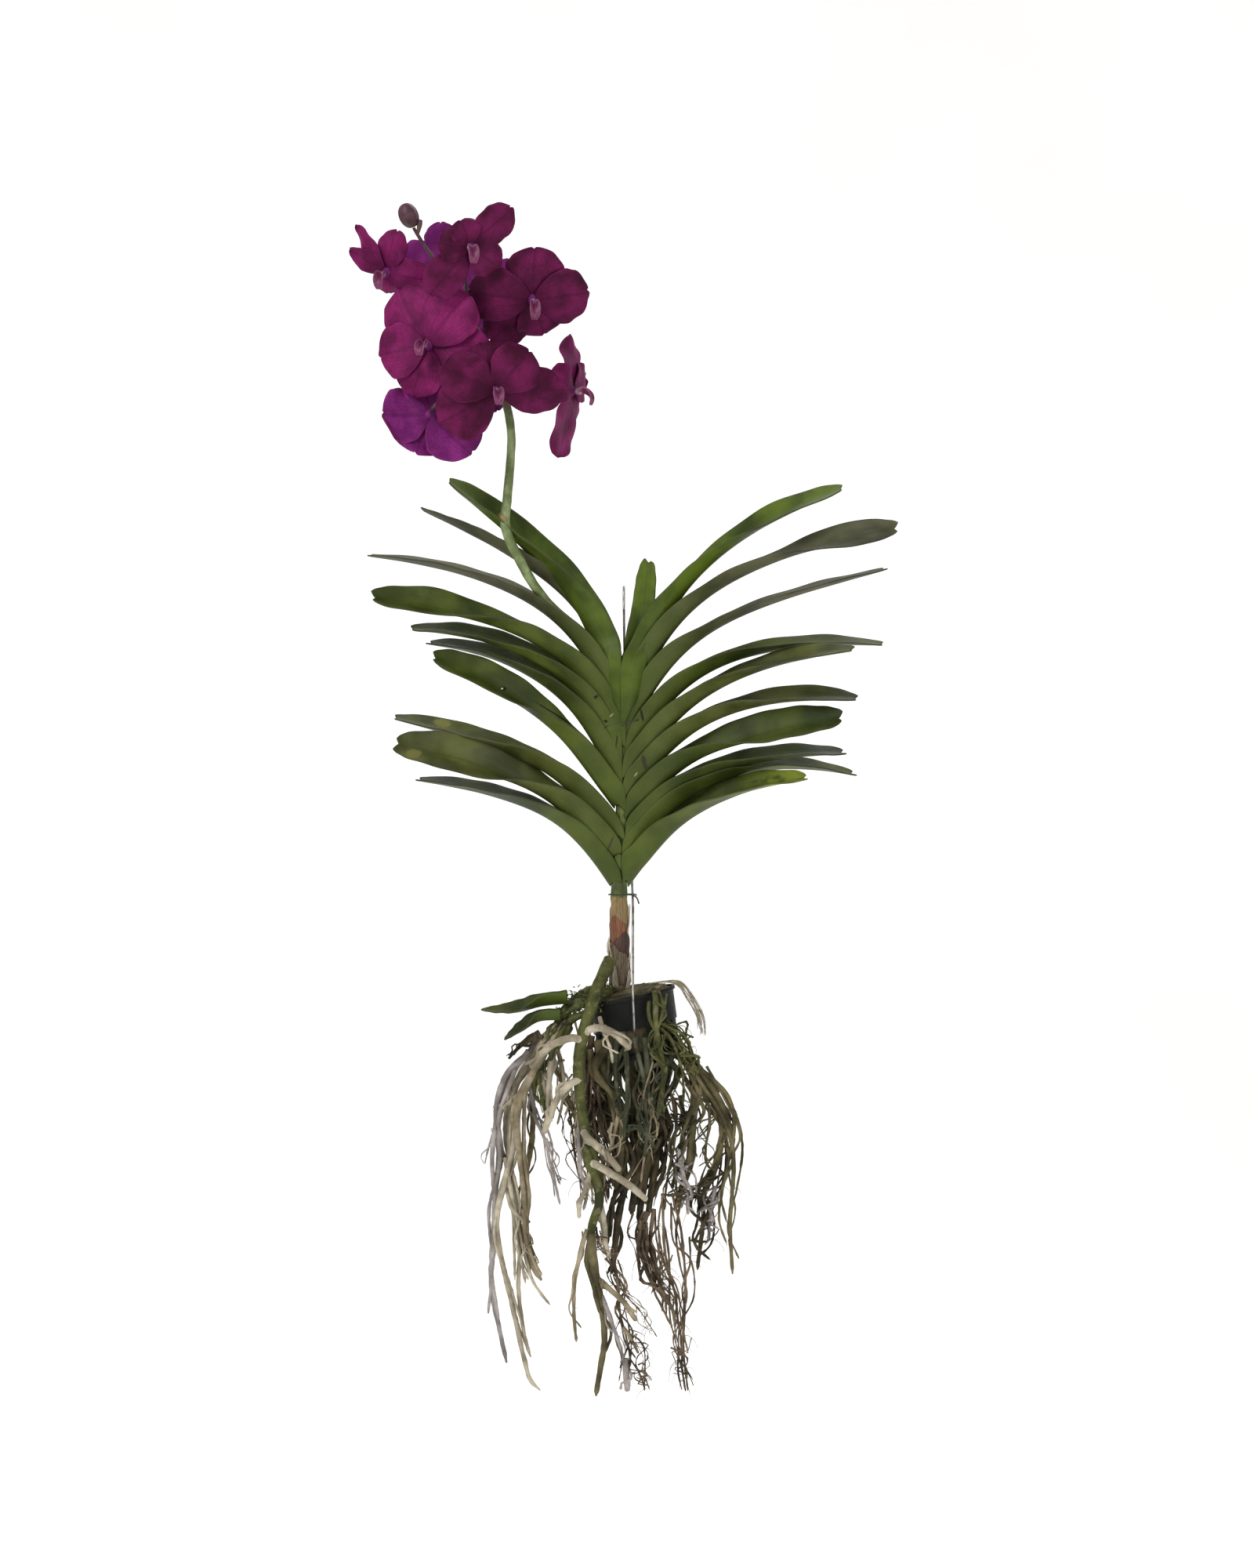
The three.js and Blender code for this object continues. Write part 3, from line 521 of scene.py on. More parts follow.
@dataclass(frozen=True)
class LeafFinish:
    """The waxy skin of one strap leaf: parallel veins, a paler base, greyed margins, flecks and scars, a painted
    shadow along the keel, and painted highlights and shadows among its marks.
    """

    age: LeafAgeAndShade
    base: float = 0.5  # how much of the bright base colour the clasping end shows
    blush: float = 0.0  # how much yellow the outer part shows
    marks: tuple[LeafMark, ...] = ()
    heart: bool = True  # whether it shows the marks near the stem: scars, and two pale strokes that are painted highlights

    FRESH = "465416"
    YELLOW = "93a03a"
    GREY = "6a6a56"
    MARGIN = "3c3a2c"
    FLECK = "3a2c16"

    def material(self, name: str) -> Material:
        """The finish as a material of that name."""
        deep, lit, grey = self.age.value
        graph = Graph(name)
        across, along, strip = graph.strip()
        place = graph.place()
        veins = graph.noise(graph.scaled(strip, (46.0, 2.2, 1.0)), 1.0, 2.0)
        cloud = graph.noise(place, 26.0, 3.0)
        patch = graph.noise(graph.scaled(strip, (1.6, 5.0, 1.0), (0.3, 0.1, 0.0)), 1.0, 2.0)
        from_keel = ((across - 0.5) * 2.0).absolute()
        colour = graph.mix(cloud.rise(0.34, 0.68), deep, lit)
        colour = graph.mix(patch.rise(0.46, 0.66) * grey, colour, self.GREY)
        colour = graph.mix((1 - along).rise(0.5, 0.85) * self.base, colour, self.FRESH)
        if self.blush:
            patchy = along.rise(0.55, 0.95) * graph.noise(place, 60.0).rise(0.36, 0.56)
            colour = graph.mix(patchy * self.blush, colour, self.YELLOW)
        colour = graph.mix(veins.rise(0.42, 0.7) * 0.16, colour, lit)
        # painted shade: a darker band along the keel, in the crease where the halves fold up
        colour = graph.mix(from_keel.rise(0.07, 0.0) * 0.35, colour, deep)
        margin = from_keel.rise(0.9, 1.0) * (along.rise(0.12, 0.4) * 0.45 + 0.12)
        colour = graph.mix(margin, colour, self.MARGIN)
        flecks = graph.cells(place, 150.0).rise(0.16, 0.05) * graph.noise(place, 40.0).rise(0.55, 0.7)
        colour = graph.mix(flecks * 0.6, colour, self.FLECK)
        # mixes in each mark as a ragged patch: the scars, and the painted highlights and painted shadow among them
        for leaf_mark in (*self.marks, *(HEART_SCARS_AND_HIGHLIGHTS if self.heart else ())):
            colour = graph.mix(self._mark(graph, place, leaf_mark), colour, leaf_mark.colour)
        height = veins * 0.6 + graph.noise(place, 300.0) * 0.4
        return graph.dress(
            Base_Color=colour,
            Roughness=0.38 + cloud * 0.22 + grey * 0.2,
            Normal=graph.bump(height, 0.35),
            Specular_IOR_Level=0.22,
        )

    @staticmethod
    def _mark(graph: Graph, place: NodeSocket, leaf_mark: LeafMark) -> Value:
        """How much of a mark shows at a place: a scar or fleck, a painted highlight or a painted shadow.

        Args:
            graph: The material's graph.
            place: The place on the object.
            leaf_mark: The mark.

        Returns:
            A mask, 1 inside the mark, with a ragged edge.
        """
        centre = (-leaf_mark.place[0] * MM, 0.0, -leaf_mark.place[1] * MM)
        moved = graph.node("ShaderNodeVectorMath", {"operation": "ADD"}, {0: place, 1: centre}).outputs[0]
        turned = graph.node(
            "ShaderNodeVectorRotate",
            {"rotation_type": "Y_AXIS"},
            {"Vector": moved, "Angle": math.radians(leaf_mark.turn)},
        ).outputs[0]
        sized = graph.scaled(turned, (1 / (leaf_mark.half[0] * MM), 0.0, 1 / (leaf_mark.half[1] * MM)))
        far = Value(graph, graph.node("ShaderNodeVectorMath", {"operation": "LENGTH"}, {0: sized}).outputs["Value"])
        return (far + graph.noise(place, 500.0, 3.0) * 0.9).rise(1.5, 1.15)


@dataclass(frozen=True)
class Leaf:
    """One strap leaf, which clasps what bears it, folds like a keel, then opens and arches to a notched tip.

    The tip is its place (x, z). Rise and end are the keel's angles at the base and at the tip above the horizontal.
    Swing is how far the tip stands behind the fan's plane. Openness is how steeply the two halves fold up from the
    keel. Roll turns the upper face forward, from the share of the length that roll_from gives.
    """

    name: str
    side: int
    base: float
    tip: tuple[float, float]
    rise: float
    end: float
    swing: float
    half_width: float
    openness: float
    roll: float
    roll_from: float
    finish: LeafFinish = LeafFinish(LeafAgeAndShade.GREEN)
    start: Point | None = None  # where the base stands, if it isn't on the stem
    clasp_radius: float = 6.95
    slot: str = "leaf"
    steep: float = 76.0  # how steeply its halves fold up near the stem, in degrees
    pointed: bool = False  # whether its tip narrows to a point
    foot: float = 12.0  # how far the middle of its foot reaches down to a point

    ROWS = 34
    COLUMNS = 13
    CLASP_ARC = 84.0
    THICKNESS = 1.4
    HUG_ARC = 93.0  # how far round from the keel the clasping base reaches, in degrees
    HUG_OVERLAP = 9.0  # how much further it goes over the leaf across the stem, and that one less far
    HUG_STEP = 0.7  # how far it then stands over that leaf
    FOOT_SHARE = 0.09  # the share of the length that the pointed foot takes
    HUG_LIFT = 2.0
    HUG_FLARE = 0.1
    HUG_CLEAR = (-3.0, 6.0)  # how far its margins stand from the middle line as it opens into the blade
    WIDTHS = ((0, 1.2), (0.12, 1.35), (0.3, 1.36), (0.6, 1.24), (0.8, 1.15), (0.93, 0.88), (0.985, 0.54), (1, 0.3))
    POINTED = ((0, 1.2), (0.12, 1.3), (0.3, 1.25), (0.6, 0.9), (0.8, 0.55), (0.93, 0.28), (1, 0.06))
    NOTCH = 3.4

    def _fold(self, u: np.ndarray, clasp: float, fold: float) -> tuple[np.ndarray, np.ndarray]:
        """A cross-section: how far the points at u across stand sideways and up, in shares of the half width."""
        parts = (np.arange(14) + 0.5) / 14
        reach = np.abs(u)[:, None] * parts[None, :]
        turn = np.radians((1 - clasp) * fold * np.minimum(1, reach / 0.3) + clasp * self.CLASP_ARC * reach)
        across = np.cos(turn).mean(axis=1) * np.abs(u)
        return np.sign(u) * across, np.sin(turn).mean(axis=1) * np.abs(u)

    def _hugged(self, row: np.ndarray, u: np.ndarray, centre: np.ndarray, share: float) -> np.ndarray:
        """A section of the blade, bent round the stem where its halves would pass the stem's middle line.

        Args:
            row: The section's points.
            u: Their places across the leaf, negative in front.
            centre: The keel's place there.
            share: How far along the leaf it is.

        Returns:
            The section's points, in millimetres.
        """
        over = 1 if (int(self.name.split("_")[-1]) + self.side) % 4 >= 2 else -1
        turn = np.abs(u) * math.radians(self.HUG_ARC + over * self.HUG_OVERLAP)
        lift = max(row[0][2], row[-1][2]) - centre[2] + self.HUG_LIFT
        foot = self.foot * (1 - float(smooth_step(share, 0, self.FOOT_SHARE)))
        height = centre[2] + lift * np.sin(turn) - foot * (1 - np.cos(turn))
        depth = self.clasp_radius + max(over, 0) * self.HUG_STEP + self.HUG_FLARE * np.maximum(height - self.base, 0)
        forward = centre[1] + np.sign(u) * depth * np.sin(turn)
        round_stem = np.stack([centre[0] * np.cos(turn), forward, height], axis=-1)
        clear = min(row[0][0] * self.side, row[-1][0] * self.side)
        hug = 1 - float(smooth_step(clear, *self.HUG_CLEAR))
        return row * (1 - hug) + round_stem * hug

    def _keel(self, start: np.ndarray) -> tuple[np.ndarray, np.ndarray]:
        """Evenly spaced points on the keel, and its directions there."""
        tip = np.array((self.tip[0], self.swing, self.tip[1]), float)
        reach = np.linalg.norm(tip - start)
        rise, end = math.radians(self.rise), math.radians(self.end)
        lift = np.array((self.side * math.cos(rise), 0, math.sin(rise)))
        fall = np.array((self.side * math.cos(end), self.swing / reach * 1.5, math.sin(end)))
        a, b, c, d = start, start + lift * reach * 0.41, tip - fall * reach * 0.45, tip
        t = np.linspace(0, 1, 240)[:, None]
        line = (1 - t) ** 3 * a + 3 * (1 - t) ** 2 * t * b + 3 * (1 - t) * t**2 * c + t**3 * d
        slope = 3 * (1 - t) ** 2 * (b - a) + 6 * (1 - t) * t * (c - b) + 3 * t**2 * (d - c)
        lengths = np.concatenate([[0], np.cumsum(np.linalg.norm(np.diff(line, axis=0), axis=1))])
        shares = self.shares()
        at = np.interp(shares * lengths[-1], lengths, np.arange(len(lengths)))
        points = np.stack([np.interp(at, np.arange(240), line[:, k]) for k in range(3)], axis=-1)
        ways = np.stack([np.interp(at, np.arange(240), slope[:, k]) for k in range(3)], axis=-1)
        return points, ways / np.linalg.norm(ways, axis=1)[:, None]

    def shares(self) -> np.ndarray:
        """Where the rows of the sheet stand along the leaf, closer together at its tip."""
        return np.concatenate([np.linspace(0, 0.9, self.ROWS - 6), (0.925, 0.95, 0.968, 0.982, 0.992, 1.0)])

    def surface(self, start: np.ndarray) -> np.ndarray:
        """The middle surface of the leaf, row by row, in millimetres."""
        points, ways = self._keel(start)
        u = np.linspace(-1, 1, self.COLUMNS)
        u = np.sign(u) * np.abs(u) ** 0.9
        clasp_half = self.clasp_radius * math.radians(self.CLASP_ARC)
        dice = random.Random(self.name)
        phase, waves = dice.uniform(0, 6), dice.uniform(4.5, 7)
        unequal = dice.choice((-1, 1))
        rows = []
        for share, centre, along in zip(self.shares(), points, ways):
            turn = math.radians(self.roll) * float(smooth_step(share, self.roll_from, self.roll_from + 0.4))
            behind = np.array((0.0, 1.0, 0.0)) - along * along[1]
            behind /= np.linalg.norm(behind)
            above = np.cross(along, behind) * self.side
            wide = behind * math.cos(turn) + above * math.sin(turn)
            normal = above * math.cos(turn) - behind * math.sin(turn)
            width = read_profile(self.POINTED if self.pointed else self.WIDTHS, share) * self.half_width
            half = width + clasp_half * (1 - float(smooth_step(share, 0, 0.12))) * (self.start is not None)
            opening = ((0.42, self.openness), (0.75, self.openness * 0.62), (1, self.openness * 0.35))
            stops = ((0, self.steep), (0.2, self.steep), *opening) if self.start is None else ((0, 66), *opening)
            fold = read_profile(stops, share)
            clasp = 1 - float(smooth_step(share, 0, 0.24)) if self.start is not None else 0.0
            across, up = self._fold(u, clasp, fold)
            sink = self._fold(np.array([1.0]), 0, fold)[1][0] * 0.4 * float(smooth_step(share, 0.3, 0.7))
            ripple = 0.5 * np.sin(share * waves * math.tau + phase + np.sign(u)) * np.abs(u) ** 3
            ripple = ripple * float(smooth_step(share, 0.2, 0.5))
            lobes = 1 - np.abs(u - 0.08 * unequal) ** 0.8
            notch = self.NOTCH * (lobes + 0.5 * (u * unequal > 0)) * float(smooth_step(share, 0.96, 1.0))
            notch = notch * (not self.pointed)
            row = (
                centre
                + wide * (across * half)[:, None]
                + normal * ((up - sink) * half + ripple)[:, None]
                - along * notch[:, None]
            )
            rows.append(self._hugged(row, u, centre, share) if self.start is None else row)
        return np.stack(rows)

    def build(self, stem: "Stem") -> Object:
        """Builds the leaf on the stem, or where its start is given.

        Args:
            stem: The stem, which says where its axis is.

        Returns:
            The finished piece.
        """
        if self.start is None:
            axis = stem.axis(self.base)
            start = np.array((axis[0] + self.side * self.clasp_radius, axis[1], self.base))
        else:
            start = np.array(self.start, float)
        leaf = sheet(on_fan(self.surface(start)))
        thicken(leaf, self.THICKNESS, [self.finish.material(self.name)])
        return finish_piece(leaf, f"{self.name}_blade", [self.name])


# Marks near the stem: real scars and flecks, and two pale strokes coloured 9a9678 that are painted highlights, not
# scars.
HEART_SCARS_AND_HIGHLIGHTS = (
    LeafMark((-23, -91), (2.4, 1.4), 30),
    LeafMark((-15, -111), (2.0, 1.3), -20),
    LeafMark((15, -106), (1.2, 6.0), 12),
    LeafMark((17, -145), (2.2, 6.5), 12, "33301a"),
    # painted highlight: a pale stroke where light glints on a leaf base
    LeafMark((-10, -106), (2.4, 0.6), 40, "9a9678"),
    # painted highlight: a pale stroke where light glints on a leaf base
    LeafMark((10, -155), (2.6, 0.6), 50, "9a9678"),
    LeafMark((-6, -128), (0.9, 7.0), -6, "2c2c16"),
    LeafMark((-11, -212), (1.0, 8.0), -24, "3a3420"),
)
CROWN = LeafFinish(LeafAgeAndShade.CROWN, base=0.4)
GREEN = LeafFinish(LeafAgeAndShade.GREEN)
GREYED = LeafFinish(LeafAgeAndShade.GREYED, base=0.8)
OLIVE = LeafFinish(LeafAgeAndShade.OLIVE, base=0.5)
# painted shade: the darker copy for leaves in shade
SHADED = LeafFinish(LeafAgeAndShade.SHADED)

LEAVES = (
    Leaf("leaf_left_1", -1, -94, (-146, 88), 74, 34, -6, 20, 58, 22, 0.2, CROWN, clasp_radius=12, steep=84, foot=26),
    Leaf("leaf_left_2", -1, -98, (-169, 66), 77, 22, 8, 16, 50, 4, 0.2, GREYED),
    Leaf("leaf_left_3", -1, -115, (-213, 27), 74, 5, 6, 16, 34, 8, 0.2, GREYED, clasp_radius=8.5, steep=62),
    Leaf("leaf_left_4", -1, -130, (-209, -8), 66, 6, -14, 17, 46, 44, 0.45, GREEN),
    Leaf("leaf_left_5", -1, -149, (-178, -34), 67, 0, 6, 15, 46, 20, 0.3, GREEN),
    Leaf("leaf_left_6", -1, -167, (-165, -45), 66, 4, 18, 14, 50, 18, 0.3, SHADED),
    Leaf(
        "leaf_left_7", -1, -185, (-159, -57), 54, 18, -8, 16, 48, 44, 0.3,
        LeafFinish(LeafAgeAndShade.GREEN, marks=(
            # painted shade: a long dark line where the blade has a crease, not a scar
            LeafMark((-49, -110), (34, 0.9), -32, "1c2010"),
            LeafMark((-100, -84), (2.8, 2.0)),
            LeafMark((-101, -84), (1.2, 0.8), 10, "cfc8b4"),
        )),
    ),
    Leaf(
        "leaf_left_8", -1, -210, (-193, -107), 52, 12, 20, 15, 48, 20, 0.3,
        LeafFinish(LeafAgeAndShade.OLIVE, marks=(LeafMark((-152, -112), (8, 4), -12, "74733a"),)),
    ),
    Leaf(
        "leaf_left_9", -1, -230, (-190, -130), 49, 8, -17, 18, 44, 54, 0.3,
        LeafFinish(LeafAgeAndShade.OLIVE, marks=(LeafMark((-173, -138), (7, 4), 0, "6f6e38"),)), foot=6,
    ),
    Leaf("leaf_left_10", -1, -249, (-173, -159), 58, 6, 8, 14, 42, 12, 0.3, SHADED, foot=7),
    Leaf("leaf_right_1", 1, -96, (182, 82), 75, 18, -6, 18, 38, 25, 0.4, CROWN, clasp_radius=12, steep=84, foot=26),
    Leaf("leaf_right_2", 1, -104, (228, 50), 71, 10, -4, 15, 38, 56, 0.55, GREYED),
    Leaf("leaf_right_3", 1, -122, (219, 16), 67, 14, 6, 15, 28, 8, 0.3, GREYED),
    Leaf("leaf_right_4", 1, -140, (218, -46), 60, -4, 22, 14, 42, 16, 0.3, GREEN),
    Leaf("leaf_right_5", 1, -157, (190, -52), 54, 4, -20, 15, 42, 22, 0.4, OLIVE),
    Leaf("leaf_right_6", 1, -175, (195, -92), 54, -6, 4, 15, 46, 26, 0.4, OLIVE),
    Leaf("leaf_right_7", 1, -195, (182, -107), 51, 8, -4, 16, 46, 50, 0.3, SHADED),
    Leaf("leaf_right_8", 1, -215, (185, -137), 51, -2, 8, 15, 44, 18, 0.3, SHADED),
    Leaf("leaf_right_9", 1, -232, (195, -155), 57, -14, 30, 14, 44, 14, 0.3, GREEN, foot=6),
    Leaf(
        "leaf_right_10", 1, -250, (152, -158), 53, 2, -18, 17, 44, 20, 0.3,
        LeafFinish(LeafAgeAndShade.GREEN, blush=0.8), foot=7,
    ),
    Leaf(
        "leaf_centre", 1, -67.65, (20, 24), 76, 86, -2, 8, 24, 74, -0.35,
        LeafFinish(LeafAgeAndShade.CROWN, base=0.5), start=(5.6, 0, -67.65), clasp_radius=3.4, slot="young_leaf",
    ),
    Leaf(
        "leaf_offset_1", -1, 0, (-117, -348), -4, 6, -26, 11, 50, 30, 0.2,
        GREEN, start=(-46, -16.3, -343.5), clasp_radius=3.0, pointed=True,
    ),
    Leaf(
        "leaf_offset_2", -1, 0, (-97, -371), 2, -30, -42, 9.5, 50, 24, 0.2,
        SHADED, start=(-52, -24.4, -356.5), clasp_radius=3.0, pointed=True,
    ),
)


# --- stem


@dataclass(frozen=True)
class BarkFinish:
    """The bare stem: smooth tan skin above, brown sheaths, then grey-brown fibres with papery scraps."""

    def material(self) -> Material:
        """The finish as a material."""
        graph = Graph("stem_bark")
        place = graph.place()
        height = graph.height(place)
        fibres = graph.noise(graph.scaled(place, (900.0, 900.0, 60.0)), 1.0, 3.0)
        blotch = graph.noise(place, 90.0, 4.0)
        colour = graph.mix(blotch.rise(0.35, 0.65), "5a4a30", "7d6c48")
        tan = graph.mix(blotch.rise(0.4, 0.6), "8a7a4e", "a1885c")
        colour = graph.mix(height.rise(-0.285, -0.27), colour, tan)
        green = graph.mix(blotch.rise(0.4, 0.6), "3e481c", "5c6a2c")
        colour = graph.mix(height.rise(-0.262, -0.252), colour, green)
        colour = graph.mix(fibres.rise(0.5, 0.75) * 0.6, colour, "32261a")
        return graph.dress(
            Base_Color=colour, Roughness=0.62 + fibres * 0.3, Normal=graph.bump(fibres + blotch, 0.6)
        )


@dataclass(frozen=True)
class SheathFinish:
    """A dry sheath or a papery scrap: long fibres between two colours, with a darker foot."""

    name: str
    dark: str
    light: str

    def material(self) -> Material:
        """The finish as a material."""
        graph = Graph(self.name)
        _, along, strip = graph.strip()
        fibres = graph.noise(graph.scaled(strip, (40.0, 2.0, 1.0)), 1.0, 3.0)
        blotch = graph.noise(graph.place(), 160.0, 3.0)
        colour = graph.mix(fibres.rise(0.35, 0.68), self.dark, self.light)
        colour = graph.mix(blotch.rise(0.5, 0.7) * 0.5, colour, self.dark)
        colour = graph.mix(along.rise(0.25, 0.0) * 0.5, colour, "2a1c12")
        return graph.dress(Base_Color=colour, Roughness=0.6 + fibres * 0.3, Normal=graph.bump(fibres, 0.3))


@dataclass(frozen=True)
class Sheath:
    """The dry base of a shed leaf round the stem: its foot and top, the side that it faces, and its half arc."""

    foot: float
    top: float
    facing: float  # degrees round the stem from the front
    half_arc: float
    stand_off: float  # how far its top stands off the stem
    ragged: float
    finish: SheathFinish


@dataclass(frozen=True)
class Stem:
    """The one upright stem, with the sheaths and scraps on its bare length."""

    radius: float = 6.0
    bare_radius: float = 7.0
    foot_radius: float = 8.0
    top: float = -68.0
    bare_top: float = -253.0
    foot: float = -352.0
    sides: int = 28

    TAN = SheathFinish("sheath_tan", "6a5636", "8e7850")
    RUSSET = SheathFinish("sheath_russet", "5b3320", "86593a")
    MAROON = SheathFinish("sheath_maroon", "33201b", "563a2e")
    GREYBROWN = SheathFinish("sheath_greybrown", "453a2c", "7b6c55")
    PAPER = SheathFinish("sheath_paper", "9a8c74", "d8cfbd")

    def axis(self, height: float) -> np.ndarray:
        """Where the stem's axis is at a height."""
        x = read_profile(((68, 0), (160, 0), (255, -4), (360, -4)), -height)
        y = read_profile(((250, 0), (335, 8), (360, 8)), -height)
        return np.array((x, y, height))

    def thickness(self, height: float) -> float:
        """The stem's radius at a height."""
        if height > self.bare_top:
            return self.radius
        swell = float(smooth_step(-height, 290, 296)) * 0.7 + float(smooth_step(-height, 312, 332))
        return self.bare_radius + swell

    def _core(self) -> Object:
        """The stem itself, from its foot to the crown."""
        heights = [*np.linspace(self.foot, self.bare_top - 1, 26), *np.linspace(self.bare_top, self.top, 12)]
        centres = [on_fan(self.axis(height)) for height in heights]
        return ring_stack(centres, [self.thickness(height) * MM for height in heights], self.sides)

    def _wrap(self, sheath: Sheath, seed: int) -> Object:
        """A sheath as a thin sheet wrapped round the stem, with a pointed and ragged upper edge."""
        dice = random.Random(seed)
        rows, columns = 12, 19
        jags = [dice.uniform(-1, 1) for _ in range(columns)]
        points = np.zeros((rows, columns, 3))
        for i in range(rows):
            t = i / (rows - 1)
            for j in range(columns):
                u = 2 * j / (columns - 1) - 1
                reach = (sheath.top - sheath.foot) * (1 - 0.55 * abs(u) ** 1.3) + sheath.ragged * jags[j]
                height = sheath.foot + t * reach
                out = self.thickness(height) + 0.6 + sheath.stand_off * t**2 + 0.25 * math.sin(u * 9 + seed) * t
                angle = math.radians(sheath.facing + u * sheath.half_arc * (1 - 0.25 * t))
                axis = self.axis(height)
                points[i, j] = axis + np.array((math.sin(angle) * out, -math.cos(angle) * out, 0))
        obj = sheet(on_fan(points))
        thicken(obj, 0.5, [sheath.finish.material()])
        return obj

    def build(self) -> None:
        """Builds the stem, its sheaths and its papery scraps."""
        core = self._core()
        roughen(core, 0.7, 6.0, 2.0)
        roughen(core, 0.4, 1.8, 5.0)
        dress(core, BarkFinish().material())
        finish_piece(core, "stem_core", ["stem"])
        for number, sheath in enumerate(self.sheaths(), start=1):
            finish_piece(self._wrap(sheath, number), f"stem_sheath_{number}")

    def sheaths(self) -> tuple[Sheath, ...]:
        """The dry leaf bases from the crown down, and the scraps below them."""
        return (
            Sheath(-283, -256, 12, 150, 0.2, 0.3, self.TAN),
            Sheath(-296, -272, -28, 140, 0.4, 0.8, self.RUSSET),
            Sheath(-308, -285, 40, 120, 0.8, 1.2, self.MAROON),
            Sheath(-322, -294, -40, 110, 1.0, 2.0, self.GREYBROWN),
            Sheath(-330, -304, 30, 100, 1.2, 2.6, self.GREYBROWN),
            Sheath(-296, -262, 88, 34, 1.6, 2.2, self.PAPER),
            Sheath(-312, -288, -62, 22, 2.2, 2.6, self.PAPER),
            Sheath(-332, -312, -20, 16, 2.0, 3.0, self.PAPER),
            Sheath(-334, -316, 52, 18, 2.4, 3.0, self.PAPER),
            Sheath(-322, -302, 70, 20, 1.4, 2.4, self.PAPER),
        )


# --- blooms


@dataclass(frozen=True)
class PetalFinish:
    """The face or the back of a petal: veins that spread from its foot, a fine net between them, painted shade along
    its middle crease, and a rim.
    """

    name: str
    deep: str
    lit: str
    vein: str
    rim: str

    def material(self) -> Material:
        """The finish as a material."""
        graph = Graph(self.name)
        across, along, strip = graph.strip()
        place = graph.place()
        veins = graph.noise(graph.scaled(strip, (26.0, 1.6, 1.0)), 1.0, 2.0)
        net = graph.cells(graph.scaled(strip, (16.0, 13.0, 1.0)), 1.0, "DISTANCE_TO_EDGE").rise(0.14, 0.02)
        cloud = graph.noise(place, 55.0, 3.0)
        from_keel = ((across - 0.5) * 2.0).absolute()
        colour = graph.mix(cloud.rise(0.28, 0.72), self.deep, self.lit)
        colour = graph.mix(veins.rise(0.5, 0.72) * 0.4, colour, self.vein)
        colour = graph.mix(net * 0.2, colour, self.vein)
        # painted shade: darker along the petal's middle crease
        colour = graph.mix(from_keel.rise(0.1, 0.0) * 0.35, colour, self.vein)
        colour = graph.mix((1 - along).rise(0.6, 1.0) * 0.5, colour, self.vein)
        colour = graph.mix(from_keel.larger(along).rise(0.86, 1.0) * 0.15, colour, self.rim)
        return graph.dress(
            Base_Color=colour,
            Roughness=0.46 + cloud * 0.2,
            Normal=graph.bump(veins * 0.7 + net * 0.3, 0.35),
            Specular_IOR_Level=0.1,
        )


class Petals(Enum):
    """How a bloom's petals look: the finish of the face and that of the back."""

    DEEP = (
        PetalFinish("petal_face_deep", "3e0727", "6c184b", "360622", "7a2a5c"),
        PetalFinish("petal_back_deep", "561850", "782c76", "421040", "884486"),
    )
    BRIGHT = (
        PetalFinish("petal_face_bright", "540b39", "861f60", "440930", "90346c"),
        PetalFinish("petal_back_bright", "64195c", "8c2f7c", "4c1446", "964a8e"),
    )

    def materials(self) -> list[Material]:
        """The materials of the face and the back, made once for all the blooms that share them."""
        return [bpy.data.materials.get(finish.name) or finish.material() for finish in self.value]


@dataclass(frozen=True)
class Tepal:
    """One petal: its angle from the top, its length and width, how far it stands before the bloom's middle, and how
    far its end bends back (a negative bend brings it forward)."""

    angle: float
    length: float
    width: float
    forward: float
    bend: float = 0.0
    blunt: float = 2.6  # how blunt its end is

    ROWS = 18
    COLUMNS = 13
    WIDEST = 0.58  # the share of the length where it is widest

    def _half_width(self, t: np.ndarray) -> np.ndarray:
        """Half its width along its length: a narrow foot, a broad middle and a rounded end."""
        foot = 0.2 + 0.8 * np.sin(np.clip((t - 0.05) / (self.WIDEST - 0.05), 0, 1) * math.pi / 2) ** 0.85
        end = np.sqrt(np.clip(1 - np.clip((t - self.WIDEST) / (1.01 - self.WIDEST), 0, 1) ** self.blunt, 0, 1))
        return np.minimum(foot, end) * self.width / 2

    def surface(self, phase: float) -> np.ndarray:
        """The petal's middle surface in the bloom's own frame.

        Args:
            phase: Shifts the waves of its margin.

        Returns:
            Rows of points in millimetres.
        """
        swing = math.radians(self.angle)
        t = np.concatenate([np.linspace(0.05, 0.88, self.ROWS - 5), (0.92, 0.955, 0.978, 0.992, 1.0)])[:, None]
        u = np.linspace(-1, 1, self.COLUMNS)[None, :]
        side = np.abs(u)
        turn = t * 9 + phase * 2 + np.sign(u)
        lobes = 1 + (0.055 * np.sin(turn) + 0.045 * np.sin(turn * 2.8 + phase) + 0.025 * np.sin(turn * 5.3)) * t
        x = u * self._half_width(t) * lobes
        notch = 0.05 * np.exp(-(((u - 0.3 * math.sin(phase)) / 0.16) ** 2)) * t**4
        y = t * self.length * (1 - 0.04 * u**2 - notch)
        wave = np.sin(t * 5 + phase) * side * t * 2.2
        ruffle = np.sin(t * 12 + phase * 3 + 1.8 * np.sign(u)) * side**2.5 * t * 2.6
        dimple = np.sin(t * 8 + phase) * np.sin(u * 4 + phase) * 0.7 * t
        z = self.forward * (1 + 0.5 * t) + 2.5 * np.sin(2.4 * t) - (4.5 + self.bend) * t**2 - 1.2 * u**2 * t
        z = z + wave + ruffle + dimple
        turned = (x * math.cos(swing) + y * math.sin(swing), y * math.cos(swing) - x * math.sin(swing), z)
        return np.stack(turned, axis=-1)


TEPALS = (
    Tepal(0, 47, 37, -1.4),
    Tepal(146, 50, 43, -1),
    Tepal(-146, 50, 43, -2.6),
    Tepal(72, 47, 43, 1.3),
    Tepal(-72, 47, 43, 1.3),
)


